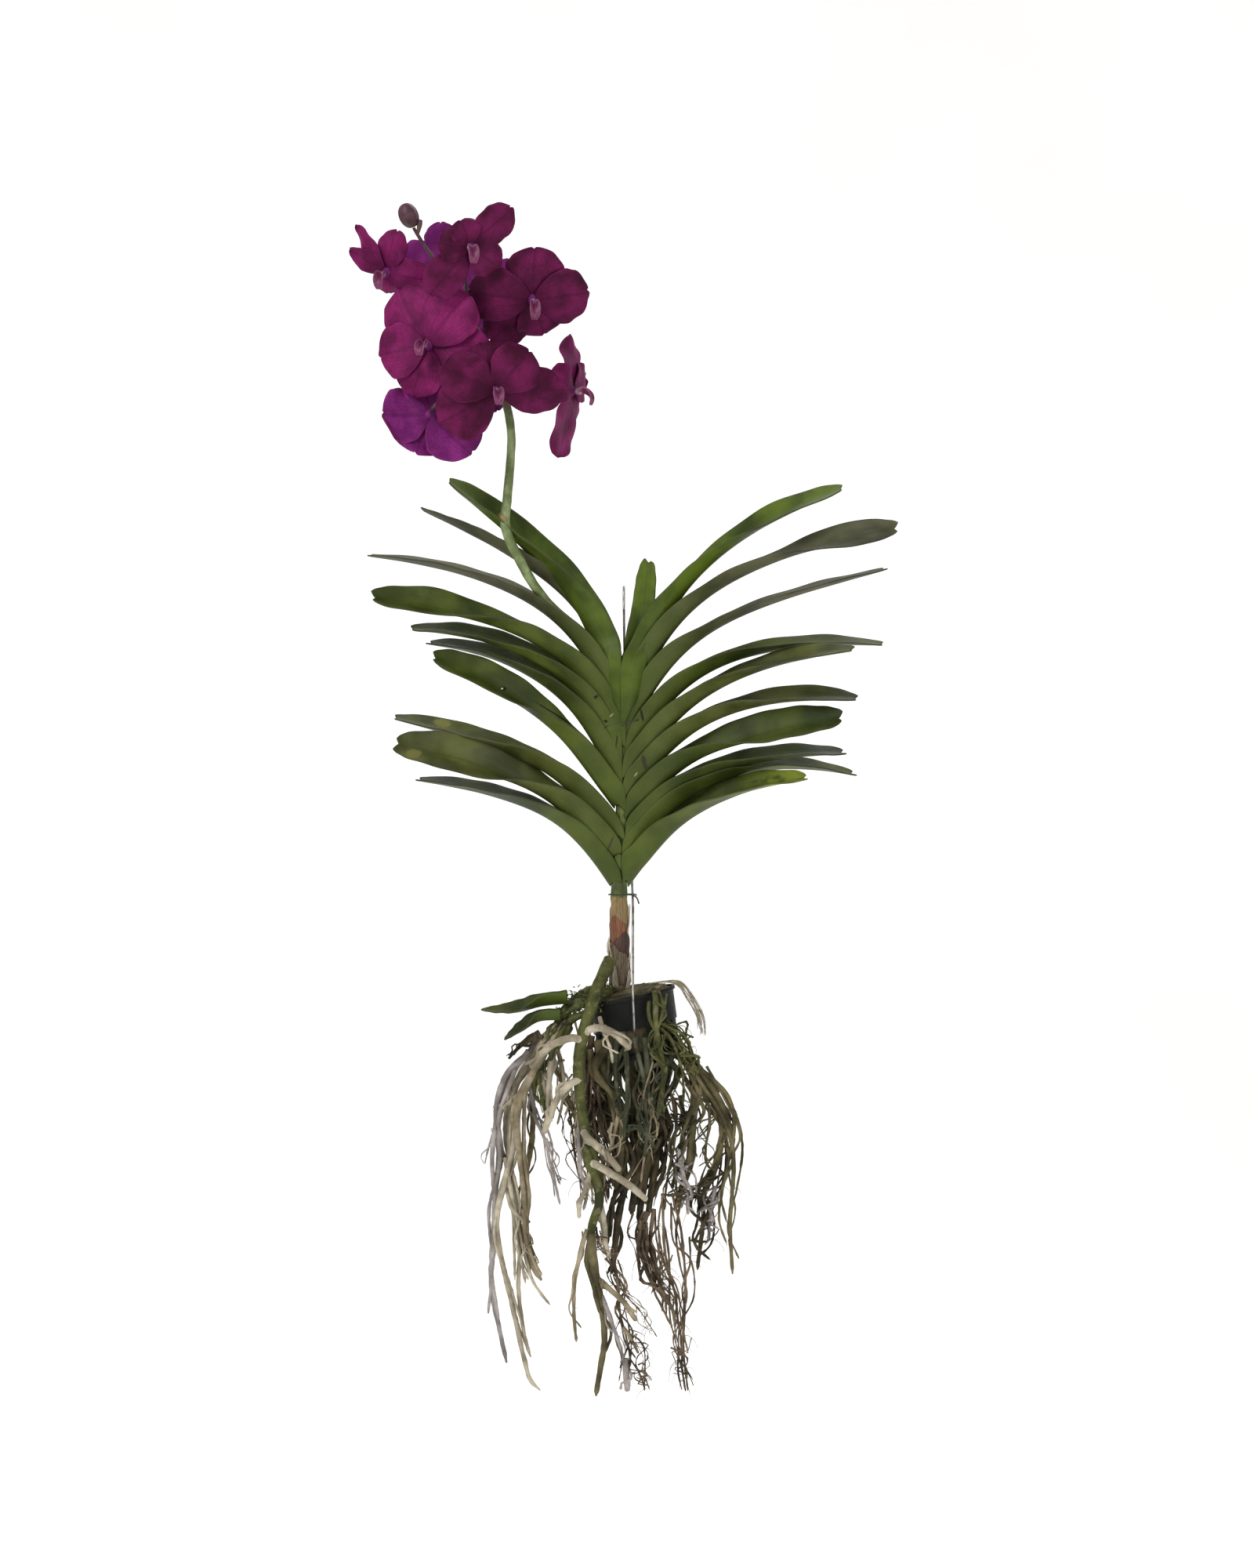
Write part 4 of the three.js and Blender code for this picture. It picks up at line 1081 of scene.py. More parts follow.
@dataclass(frozen=True)
class Bloom:
    """One bloom: its place, the way it faces, its size, where on the spike its stalk leaves, and its petals."""

    number: int
    place: Point
    facing: Point
    size: float
    stalk_from: float
    petals: Petals = Petals.DEEP
    tepals: tuple[Tepal, ...] = TEPALS

    THICKNESS = 0.9
    HUB_BACK = -4.35

    def frame(self) -> np.ndarray:
        """The bloom's own axes as the columns of a matrix: right, up and the way it faces."""
        z = np.asarray(self.facing, float)
        z /= np.linalg.norm(z)
        y = np.array((0.0, 0.0, 1.0)) - z * z[2]
        y /= np.linalg.norm(y)
        return np.stack([np.cross(y, z), y, z], axis=1)

    def matrix(self) -> Matrix:
        """The bloom's size, turn and place, in metres in the row frame."""
        whole = np.eye(4)
        whole[:3, :3] = self.frame() * self.size
        whole[:3, 3] = on_fan(self.place)
        return Matrix(whole.tolist())

    def stalk(self, spike: Route) -> Strand:
        """The stalk that bears the bloom, from the spike to the back of its hub."""
        start = spike.at(self.stalk_from)
        way = self.frame()[:, 2]
        hub = np.asarray(self.place) + way * (self.HUB_BACK * self.size)
        near = hub - way * 14
        middle = (start + near) / 2 + (0, 0, 4)
        points = tuple(tuple(float(v) for v in p) for p in (start, middle, near, hub + way * 2))
        return Strand(points, 1.3, 1.9, tip=1.0)

    def surfaces(self) -> list[np.ndarray]:
        """The middle surface of each petal, in the bloom's own frame."""
        return [tepal.surface(self.number * 1.9 + at * 2.3) for at, tepal in enumerate(self.tepals)]

    def build(self) -> Object:
        """Builds the five petals and the hub that they stand on."""
        parts = []
        for at, surface in enumerate(self.surfaces()):
            petal = sheet(surface * MM)
            roughen(petal, 1.1, 13.0, self.number * 3.1 + at)
            thicken(petal, self.THICKNESS, self.petals.materials())
            parts.append(petal)
        heights = (-4.0, -3.2, -1.6, 0.4, 1.8, 2.6)
        radii = (1.2, 3.0, 4.6, 4.8, 3.6, 1.4)
        hub = ring_stack([np.array((0, 0, h * MM)) for h in heights], [r * MM for r in radii], 14)
        dress(hub, self.petals.materials()[1])
        bloom = join([*parts, hub])
        bloom.matrix_world = self.matrix()
        return finish_piece(bloom, f"bloom_{self.number}_petals", [f"bloom_{self.number}"])


BLOOMS = (
    Bloom(
        1, (-159, -50, 193), (-0.3, -0.93, 0), 1.0, 0.68, Petals.BRIGHT,
        (
            Tepal(-30, 55, 50, -1.4),
            Tepal(-160, 43, 44, -1.0),
            Tepal(106, 52, 48, -2.6),
            Tepal(42, 54, 50, 1.3),
            Tepal(-98, 44, 46, 1.3),
        ),
    ),
    Bloom(
        2, (-75, -38, 232), (0.2, -0.85, -0.45), 1.0, 0.74, Petals.DEEP,
        (
            Tepal(0, 43, 48, -1.4),
            Tepal(156, 34, 40, -1.0),
            Tepal(-142, 50, 38, -2.6),
            Tepal(80, 48, 46, 1.3),
            Tepal(-84, 54, 46, 1.3),
        ),
    ),
    Bloom(
        3, (-103, -72, 153), (0.2, -0.95, -0.15), 1.0, 0.68, Petals.DEEP,
        (
            Tepal(-12, 40, 46, -2.6),
            Tepal(88, 58, 38, -1.0),
            Tepal(-122, 52, 50, -1.6),
            Tepal(40, 43, 44, 1.3),
            Tepal(-68, 48, 42, 1.3),
        ),
    ),
    Bloom(
        4, (-43, -8, 162), (0.93, -0.34, -0.1), 1.0, 0.69, Petals.BRIGHT,
        (
            Tepal(-4, 46, 40, -1.4),
            Tepal(-168, 58, 46, -1.0),
            Tepal(132, 40, 34, -2.6),
            Tepal(62, 34, 34, 1.3),
            Tepal(-80, 34, 34, 1.3, 8.0),
        ),
    ),
    Bloom(
        5, (-158, -35, 138), (-0.25, 0.9, -0.3), 1.0, 0.67, Petals.BRIGHT,
        (
            Tepal(8, 38, 38, -1.4),
            Tepal(94, 41, 50, -1.0),
            Tepal(-140, 48, 52, -2.6),
            Tepal(158, 38, 42, 1.3),
            Tepal(-76, 44, 42, 1.3),
        ),
    ),
    Bloom(
        6, (-124, -81, 267), (0.3, -0.9, -0.3), 1.0, 0.82, Petals.DEEP,
        (
            Tepal(47, 48, 30, -1.4),
            Tepal(120, 33, 30, -1.0),
            Tepal(-146, 50, 34, -2.6),
            Tepal(-20, 22, 26, 1.3),
            Tepal(-88, 25, 28, 1.3),
        ),
    ),
    Bloom(
        7, (-196, -16, 258), (-0.3, -0.9, -0.3), 1.0, 0.86, Petals.BRIGHT,
        (
            Tepal(20, 36, 26, -1.4),
            Tepal(104, 38, 32, -1.0),
            Tepal(-168, 18, 22, -2.6),
            Tepal(-28, 46, 15, 1.3, blunt=0.8),
            Tepal(-54, 37, 19, 1.3, blunt=0.8),
        ),
    ),
    Bloom(8, (-152, 44, 272), (0.1, 0.95, 0.25), 0.85, 0.88, Petals.BRIGHT),
    Bloom(9, (-118, 22, 250), (0.5, 0.85, 0), 0.85, 0.78, Petals.BRIGHT),
    Bloom(10, (-130, 40, 186), (-0.2, 0.95, -0.1), 0.85, 0.66),
)


@dataclass(frozen=True)
class LipFinish:
    """The small fleshy lip: pink with a deeper ridge and veins, and whitish where it meets the column."""

    def material(self) -> Material:
        """The finish as a material."""
        graph = Graph("lip_flesh")
        across, along, strip = graph.strip()
        cloud = graph.noise(graph.scaled(strip, (6.0, 6.0, 1.0)), 1.0, 2.0)
        veins = graph.noise(graph.scaled(strip, (22.0, 1.5, 1.0)), 1.0, 2.0)
        from_keel = ((across - 0.5) * 2.0).absolute()
        colour = graph.mix(cloud.rise(0.35, 0.65), "561238", "7c2c5a")
        colour = graph.mix(veins.rise(0.5, 0.7) * 0.5, colour, "4c1034")
        colour = graph.mix(from_keel.rise(0.6, 0.98) * 0.35, colour, "8a4c72")
        colour = graph.mix(along.rise(0.3, 0.05) * 0.45, colour, "b890a4")
        return graph.dress(Base_Color=colour, Roughness=0.4 + cloud * 0.15, Normal=graph.bump(veins, 0.2))


@dataclass(frozen=True)
class ColumnFinish:
    """The column over the lip: whitish pink, in patches of two tones."""

    def material(self) -> Material:
        """The finish as a material."""
        graph = Graph("column_wax")
        cloud = graph.noise(graph.place(), 260.0, 2.0)
        colour = graph.mix(cloud.rise(0.38, 0.62), "783a5e", "a87c94")
        return graph.dress(Base_Color=colour, Roughness=0.38 + cloud * 0.1, Normal=graph.bump(cloud, 0.15))


@dataclass(frozen=True)
class Lip:
    """The lip and column, modelled once in the bloom's own frame. A row of the lip holds how far down and forward
    it stands, its half width and how far its edges stand forward."""

    base: float = 3.15
    rows: tuple[tuple[float, float, float, float], ...] = (
        (0, 1.4, 2.4, 4.6),
        (-0.6, 4.2, 3.2, 8.0),
        (-1.4, 7.2, 3.8, 8.6),
        (-2.4, 10.2, 4.2, 8.0),
        (-3.8, 12.8, 4.6, 7.0),
        (-5.8, 14.6, 4.6, 6.0),
        (-8.0, 15.2, 4.2, 5.0),
        (-10.0, 15.0, 3.4, 4.0),
        (-11.2, 14.4, 2.4, 3.0),
    )
    columns: int = 9
    thickness: float = 1.3

    def _blade(self) -> Object:
        """The lip's blade, with three low ridges along it."""
        u = np.linspace(-1, 1, self.columns)
        grid = []
        for down, forward, half, edge in self.rows:
            ridges = 0.35 * np.cos(u * 3 * math.pi) * (1 - np.abs(u))
            wall = np.abs(u) ** 1.5 * (edge - 3)
            z = self.base + forward + wall * 0.3 + ridges
            grid.append(np.stack([u * half, down + wall * 0.9, z], axis=-1))
        blade = sheet(np.stack(grid) * MM)
        thicken(blade, self.thickness, [LipFinish().material()])
        return blade

    def _column(self) -> Object:
        """The short hooded column, which leans over the lip."""
        heights = np.array((0.0, 1.2, 2.6, 4.0, 5.2, 6.1, 6.7))
        radii = np.array((2.0, 2.5, 2.6, 2.4, 1.9, 1.2, 0.4))
        centres = [np.array((0, -0.035 * h**2, self.base + h - 0.4)) * MM for h in heights]
        column = ring_stack(centres, list(radii * MM), 14)
        dress(column, ColumnFinish().material())
        return column

    def build(self, blooms: Sequence[Bloom]) -> None:
        """Models one lip and puts a copy with a mesh of its own on every bloom."""
        pattern = join([self._blade(), self._column()])
        for bloom in blooms:
            lip = pattern.copy()
            lip.data = pattern.data.copy()
            bpy.context.scene.collection.objects.link(lip)
            lip.matrix_world = bloom.matrix()
            finish_piece(lip, f"lip_{bloom.number}_flesh", [f"lip_{bloom.number}"])
        bpy.data.objects.remove(pattern)


# --- flower spike and buds


@dataclass(frozen=True)
class SpikeFinish:
    """The skin of the spike or of the stalks, which turns purplish above a height, with fine lengthwise lines."""

    name: str
    blush_from: float  # the height in metres where it turns purplish

    def material(self) -> Material:
        """The finish as a material."""
        graph = Graph(self.name)
        place = graph.place()
        height = graph.height(place)
        lines = graph.noise(graph.scaled(place, (900.0, 900.0, 40.0)), 1.0, 2.0)
        cloud = graph.noise(place, 80.0, 3.0)
        colour = graph.mix(cloud.rise(0.35, 0.65), "5c6a38", "8c9a68")
        blush = height.rise(self.blush_from, self.blush_from + 0.025)
        colour = graph.mix(blush * 0.95, colour, graph.mix(cloud.rise(0.35, 0.65), "3a1230", "5a2a44"))
        colour = graph.mix(lines.rise(0.5, 0.75) * 0.3, colour, "4a5430")
        return graph.dress(Base_Color=colour, Roughness=0.42 + cloud * 0.2, Normal=graph.bump(lines, 0.25))


@dataclass(frozen=True)
class BractFinish:
    """A papery bract where a stalk leaves the spike."""

    def material(self) -> Material:
        """The finish as a material."""
        graph = Graph("bract_paper")
        _, along, strip = graph.strip()
        fibres = graph.noise(graph.scaled(strip, (20.0, 1.5, 1.0)), 1.0, 2.0)
        colour = graph.mix(fibres.rise(0.35, 0.65), "6a5a38", "9a8c60")
        colour = graph.mix(along.rise(0.5, 1.0) * 0.6, colour, "4c3826")
        return graph.dress(Base_Color=colour, Roughness=0.7 + fibres * 0.2, Normal=graph.bump(fibres, 0.2))


@dataclass(frozen=True)
class FlowerSpike:
    """The leaning spike, with a stalk and a bract for each bloom and a few bare nodes below them."""

    points: tuple[Point, ...] = (
        (-1.5, 0, -104), (-7, 0, -85), (-19, 0, -64), (-43, 0, -32), (-62, -4, -14), (-74, -14, 1),
        (-84, -22, 18), (-97, -21, 47), (-96, -15, 73), (-94, -11, 99), (-93, -9, 125),
        (-96, -8, 146), (-108, -7, 183), (-127, -5, 222), (-150, -3, 261), (-166, -3, 284),
        (-174.1, -4, 297.3),
    )
    radii: Stops = ((0, 2.4), (0.06, 3.6), (0.4, 4.1), (0.6, 3.6), (1, 1.5))
    bare_nodes: tuple[float, ...] = (0.24, 0.42)  # shares of the length with a bract and no stalk

    def _bract(self, share: float, turn: float) -> Object:
        """A small pointed bract that clasps the spike.

        Args:
            share: Where on the spike it stands.
            turn: Which way round the spike it faces, in degrees.

        Returns:
            The bract.
        """
        route = Route(self.points)
        centre, way = route.at(share), route.along(share)
        side = np.cross(way, (0.0, 1.0, 0.0))
        side /= np.linalg.norm(side)
        front = np.cross(side, way)
        radius = read_profile(self.radii, share)
        rows, columns = 7, 9
        grid = np.zeros((rows, columns, 3))
        for i, t in enumerate(np.linspace(0, 1, rows)):
            for j, u in enumerate(np.linspace(-1, 1, columns)):
                angle = math.radians(turn + u * 115 * (1 - 0.72 * t))
                out = radius + 0.35 + 1.3 * t**2
                around = side * math.sin(angle) - front * math.cos(angle)
                grid[i, j] = centre + around * out + way * (t * 7 - 1.5)
        bract = sheet(on_fan(grid))
        thicken(bract, 0.5, [self.bract_material()])
        return bract

    @staticmethod
    def bract_material() -> Material:
        """The bracts' finish, made once."""
        return bpy.data.materials.get("bract_paper") or BractFinish().material()

    def build(self, blooms: Sequence[Bloom]) -> None:
        """Builds the spike with the stalks of these blooms."""
        route = Route(self.points)
        spike = Strand(self.points, 0, 0, stops=self.radii)
        parts = []
        for finish, strands in (
            (SpikeFinish("spike_skin", 0.135), [spike]),
            (SpikeFinish("stalk_skin", 0.05), [bloom.stalk(route) for bloom in blooms]),
        ):
            part = tubes(strands, rounds=3, step=4.0)
            roughen(part, 0.35, 7.0)
            dress(part, finish.material())
            parts.append(part)
        finish_piece(join(parts), "flower_spike_skin", ["flower_spike"])
        bracts = [self._bract(bloom.stalk_from - 0.004, 40.0 * bloom.number) for bloom in blooms]
        bracts += [self._bract(share, 70.0) for share in self.bare_nodes]
        finish_piece(join(bracts), "flower_spike_bracts")


@dataclass(frozen=True)
class BudFinish:
    """A plump bud: purplish brown with a greenish foot."""

    def material(self) -> Material:
        """The finish as a material."""
        graph = Graph("bud_skin")
        place = graph.place()
        height = graph.height(place)
        cloud = graph.noise(place, 120.0, 3.0)
        colour = graph.mix(cloud.rise(0.35, 0.65), "3a1a28", "5e3444")
        colour = graph.mix(height.rise(0.303, 0.296) * 0.5, colour, "6f7040")
        return graph.dress(Base_Color=colour, Roughness=0.45 + cloud * 0.2, Normal=graph.bump(cloud, 0.3))


@dataclass(frozen=True)
class Bud:
    """The bud at the spike's end: a plump egg with three seams, and a thin young one beside it."""

    place: Point = (-178.2, -4, 307.5)
    radius: float = 8.0
    length: float = 21.0
    lean: float = 24.0
    seam: float = 0.13  # how deep a seam cuts, as a share of the radius

    def build(self) -> None:
        """Builds the bud and its small neighbour."""
        t = np.array((0, 0.03, 0.09, 0.19, 0.32, 0.46, 0.6, 0.73, 0.84, 0.92, 0.97, 1.0))
        shape = np.sqrt(np.clip(1 - (2 * t - 1) ** 2, 0, 1)) ** 0.9 + 0.03
        centres = [np.array((0, 0, (h - 0.5) * self.length * MM)) for h in t]
        bud = ring_stack(centres, list(shape * self.radius * MM), 30)
        for vertex in bud.data.vertices:
            angle = math.atan2(vertex.co.y, vertex.co.x)
            cut = 1 - self.seam * max(0.0, math.cos(3 * angle + 1.2)) ** 6
            vertex.co.x *= cut
            vertex.co.y *= cut
        bud.location = on_fan(self.place)
        bud.rotation_euler = (0, -math.radians(self.lean), 0)
        dress(bud, BudFinish().material())
        finish_piece(bud, "bud_skin", ["bud"])
        tip = tubes([Strand(((-171, -3, 291), (-169.6, -4, 297), (-168.4, -5, 304)), 1.1, 2.2, tip=0.2)], 2, 1.5)
        dress(tip, bpy.data.materials["bud_skin"])
        finish_piece(tip, "bud_young")


# --- basket, hanger and ties


@dataclass(frozen=True)
class BasketFinish:
    """Black plastic with a faint grain and patches of green dust."""

    def material(self) -> Material:
        """The finish as a material."""
        graph = Graph("basket_plastic")
        place = graph.place()
        grain = graph.noise(place, 900.0, 2.0)
        dust = graph.noise(place, 70.0, 4.0)
        colour = graph.mix(grain.rise(0.4, 0.6), "0b0b0a", "161614")
        colour = graph.mix(dust.rise(0.58, 0.75) * 0.35, colour, "34362a")
        return graph.dress(
            Base_Color=colour,
            Roughness=0.4 + dust * 0.3,
            Normal=graph.bump(grain, 0.12),
            Specular_IOR_Level=0.2,
        )


@dataclass(frozen=True)
class Basket:
    """The small net basket: a solid band under a turned-out rim, slots round its lower half, and an open floor."""

    centre: Point = (4, 12, -338)  # the middle of its rim
    tilt: float = 12.0  # degrees, right side up
    rim_radius: float = 39.0
    foot_radius: float = 33.5
    height: float = 52.0
    wall: float = 1.6
    lip: float = 1.6
    lip_height: float = 3.0
    slots: int = 8
    slot_top: float = -27.0
    slot_bottom: float = -47.0
    floor_hole: float = 22.0

    SIDES = 72
    SLOT_STEPS = 6  # how many of a slot's nine steps round the basket are open
    EDGE = 0.35  # how far an edge is rounded

    def radius(self, height: float) -> float:
        """The outer radius of the wall at a height below the rim."""
        top = self.rim_radius - self.lip
        return top + (top - self.foot_radius) * height / self.height

    def put(self, obj: Object) -> None:
        """Places an object, which is modelled round the rim's middle, where the basket hangs."""
        obj.location = on_fan(self.centre)
        obj.rotation_euler = (0, -math.radians(self.tilt), 0)

    def _shell(self) -> Object:
        """The wall as one sheet, extruded from the edge of the floor's hole up to the rim."""
        stations = [
            (self.foot_radius, -self.height),
            (self.radius(self.slot_bottom), self.slot_bottom),
            (self.radius(-37.0), -37.0),
            (self.radius(self.slot_top), self.slot_top),
            (self.radius(-15.0), -15.0),
            (self.radius(-self.lip_height), -self.lip_height),
            (self.rim_radius, -self.lip_height),
            (self.rim_radius, 0.0),
        ]
        bpy.ops.mesh.primitive_circle_add(
            vertices=self.SIDES, radius=self.floor_hole * MM, location=(0, 0, -self.height * MM)
        )
        obj = bpy.context.object
        bpy.ops.object.mode_set(mode="EDIT")
        bpy.ops.mesh.select_all(action="SELECT")
        radius, height = self.floor_hole, -self.height
        for wider, higher in stations:
            bpy.ops.mesh.extrude_region_move(TRANSFORM_OT_translate={"value": (0, 0, (higher - height) * MM)})
            grow = wider / radius
            bpy.ops.transform.resize(value=(grow, grow, 1), center_override=(0, 0, higher * MM))
            radius, height = wider, higher
        bpy.ops.mesh.select_all(action="SELECT")
        bpy.ops.mesh.normals_make_consistent(inside=False)
        bpy.ops.object.mode_set(mode="OBJECT")
        bpy.ops.object.transform_apply(location=True, rotation=True, scale=True)
        return obj

    def _open_slots(self, obj: Object) -> None:
        """Deletes the wall's faces inside the slots."""
        pitch = 360 / self.slots
        half = self.SLOT_STEPS * 360 / self.SIDES / 2

        def in_slot(face: MeshPolygon) -> bool:
            """Whether a face lies inside a slot."""
            turn = math.degrees(math.atan2(face.center.x, -face.center.y))
            from_middle = (turn + pitch / 2) % pitch - pitch / 2
            return self.slot_bottom < face.center.z / MM < self.slot_top and abs(from_middle) < half

        select_faces(obj, in_slot)
        bpy.ops.mesh.delete(type="FACE")
        bpy.ops.object.mode_set(mode="OBJECT")

    def build(self) -> None:
        """Builds the basket."""
        basket = self._shell()
        self._open_slots(basket)
        wall_face = min(basket.data.polygons, key=lambda face: abs(face.center.z / MM + 15))
        outward = wall_face.normal.x * wall_face.center.x + wall_face.normal.y * wall_face.center.y > 0
        apply_modifier(basket, "SOLIDIFY", thickness=self.wall * MM, offset=-1.0 if outward else 1.0)
        apply_modifier(basket, "BEVEL", width=self.EDGE * MM, segments=2, limit_method="ANGLE")
        self.put(basket)
        dress(basket, BasketFinish().material())
        finish_piece(basket, "basket_shell", ["basket"])


@dataclass(frozen=True)
class WireFinish:
    """A drawn wire: bright steel that has gone dull and lightly rusty, or a green coat."""

    name: str
    bright: str
    dull: str
    metallic: float
    rough: float

    def material(self) -> Material:
        """The finish as a material."""
        graph = Graph(self.name)
        place = graph.place()
        cloud = graph.noise(place, 140.0, 4.0)
        fine = graph.noise(place, 900.0, 2.0)
        colour = graph.mix(cloud.rise(0.48, 0.68), self.bright, self.dull)
        return graph.dress(
            Base_Color=colour,
            Metallic=self.metallic,
            Roughness=self.rough + cloud * 0.25,
            Normal=graph.bump(fine, 0.06),
        )


@dataclass(frozen=True)
class Hanger:
    """The steel wire that carries the plant: a hook, a long shaft beside the stem, and a foot through the basket."""

    radius: float = 1.0
    back: float = 16.0  # how far behind the fan's plane the shaft runs
    finish: WireFinish = WireFinish("hanger_steel", "a9a9a2", "6f6558", 0.9, 0.3)

    def points(self) -> tuple[Point, ...]:
        """The points that the wire passes, from the hook's end to its foot."""
        back = self.back
        return (
            (0, -4.5, -18), (0, -2.3, -13), (0, -2, -8), (0, 0.6, -1.6), (0, 7, 1), (0, 13.4, -1.6),
            (0, back, -8), (0, back, -16), (1, back, -90), (3, back, -190), (6.5, 14, -240), (7.5, 9, -262),
            (7.5, -2, -288), (7.5, -24, -324), (7.5, -29.6, -336), (8, -29.2, -350), (8.5, -26.6, -363),
            (8.5, -22, -367.5), (8.5, -17.5, -367.5),
        )

    def build(self) -> None:
        """Builds the wire."""
        wire = tubes([Strand(self.points(), 0, 0, stops=((0, self.radius), (1, self.radius)))], 3, 1.5)
        dress(wire, self.finish.material())
        finish_piece(wire, "hanger_wire_steel", ["hanger_wire"])


@dataclass(frozen=True)
class Ties:
    """The two thin ties: one round the bare stem and the hanger with a loose end, one across the leaf bases."""

    radius: float = 0.6
    finish: WireFinish = WireFinish("tie_green", "1f3018", "34452a", 0.0, 0.4)
    lower: tuple[Point, ...] = (
        (12.5, -7.5, -262), (10.6, -6, -257), (7, -5.2, -254.9), (-1, -8.6, -254.6), (-8, -7.4, -254.6),
        (-12.6, 0, -254.6), (-9.5, 6.6, -254.6), (-2, 9.6, -254.6), (4, 13.6, -254.8), (9.2, 13.4, -255),
        (10.2, 9, -255.2), (9.6, 2, -256.6),
    )
    upper: tuple[Point, ...] = (
        (-16, -11.4, -117), (-13, -16, -115), (-6, -16.9, -113), (2, -16.9, -112), (9, -14.9, -111),
        (12, -11.4, -110),
    )

    def build(self) -> None:
        """Builds both ties."""
        coat = self.finish.material()
        even = ((0, self.radius), (1, self.radius))
        for name, points in (("tie_lower", self.lower), ("tie_upper", self.upper)):
            tie = tubes([Strand(points, 0, 0, stops=even)], 2, 1.0)
            dress(tie, coat)
            finish_piece(tie, f"{name}_wire", [name])


# --- roots


class RootKind(Enum):
    """How a root looks: its dark colour, its light colour, the colour of its patches and how far they go."""

    PALE = ("867c69", "c0b6a0", "76785a", 0.35)
    TAN = ("70644e", "aea087", "5e623c", 0.35)
    LILAC = ("77706c", "aca4a0", "8a8270", 0.4)
    MOSSY = ("303318", "5a5c32", "7b7856", 0.5)
    OLIVE = ("423c28", "766c4e", "545a32", 0.45)
    DARK = ("262117", "564c38", "474a2a", 0.45)
    SAGE = ("363a28", "5a5c48", "6a6450", 0.5)
    BROWN = ("3a3126", "746450", "8a7a60", 0.4)

    def material(self) -> Material:
        """The finish of such roots: a chalky skin with streaks, pits and patches, made once."""
        name = f"root_{self.name.lower()}"
        if made := bpy.data.materials.get(name):
            return made
        dark, light, patch, share = self.value
        graph = Graph(name)
        place = graph.place()
        cloud = graph.noise(place, 45.0, 3.0)
        spots = graph.noise(place, 170.0, 3.0)
        pits = graph.cells(place, 700.0)
        grain = graph.noise(graph.scaled(place, (1100.0, 1100.0, 260.0)), 1.0, 3.0)
        colour = graph.mix(cloud.rise(0.36, 0.64), dark, light)
        colour = graph.mix(spots.rise(0.52, 0.66) * share, colour, patch)
        colour = graph.mix(grain.rise(0.52, 0.74) * 0.45, colour, dark)
        colour = graph.mix(pits.rise(0.18, 0.05) * 0.35, colour, dark)
        height = grain * 0.6 + pits * 0.4 + spots * 0.5
        return graph.dress(
            Base_Color=colour,
            Roughness=0.72 + spots * 0.25,
            Normal=graph.bump(height, 0.45),
            Specular_IOR_Level=0.25,
        )


class RootGroup(Enum):
    """A body of roots in the frame and the slot of its finish."""

    LEFT = ("roots_left", "pale_root")
    THICK = ("root_thick", "mossy_root")
    MASS = ("root_mass", "dark_root")
    FINE = ("roots_fine", "fine_root")


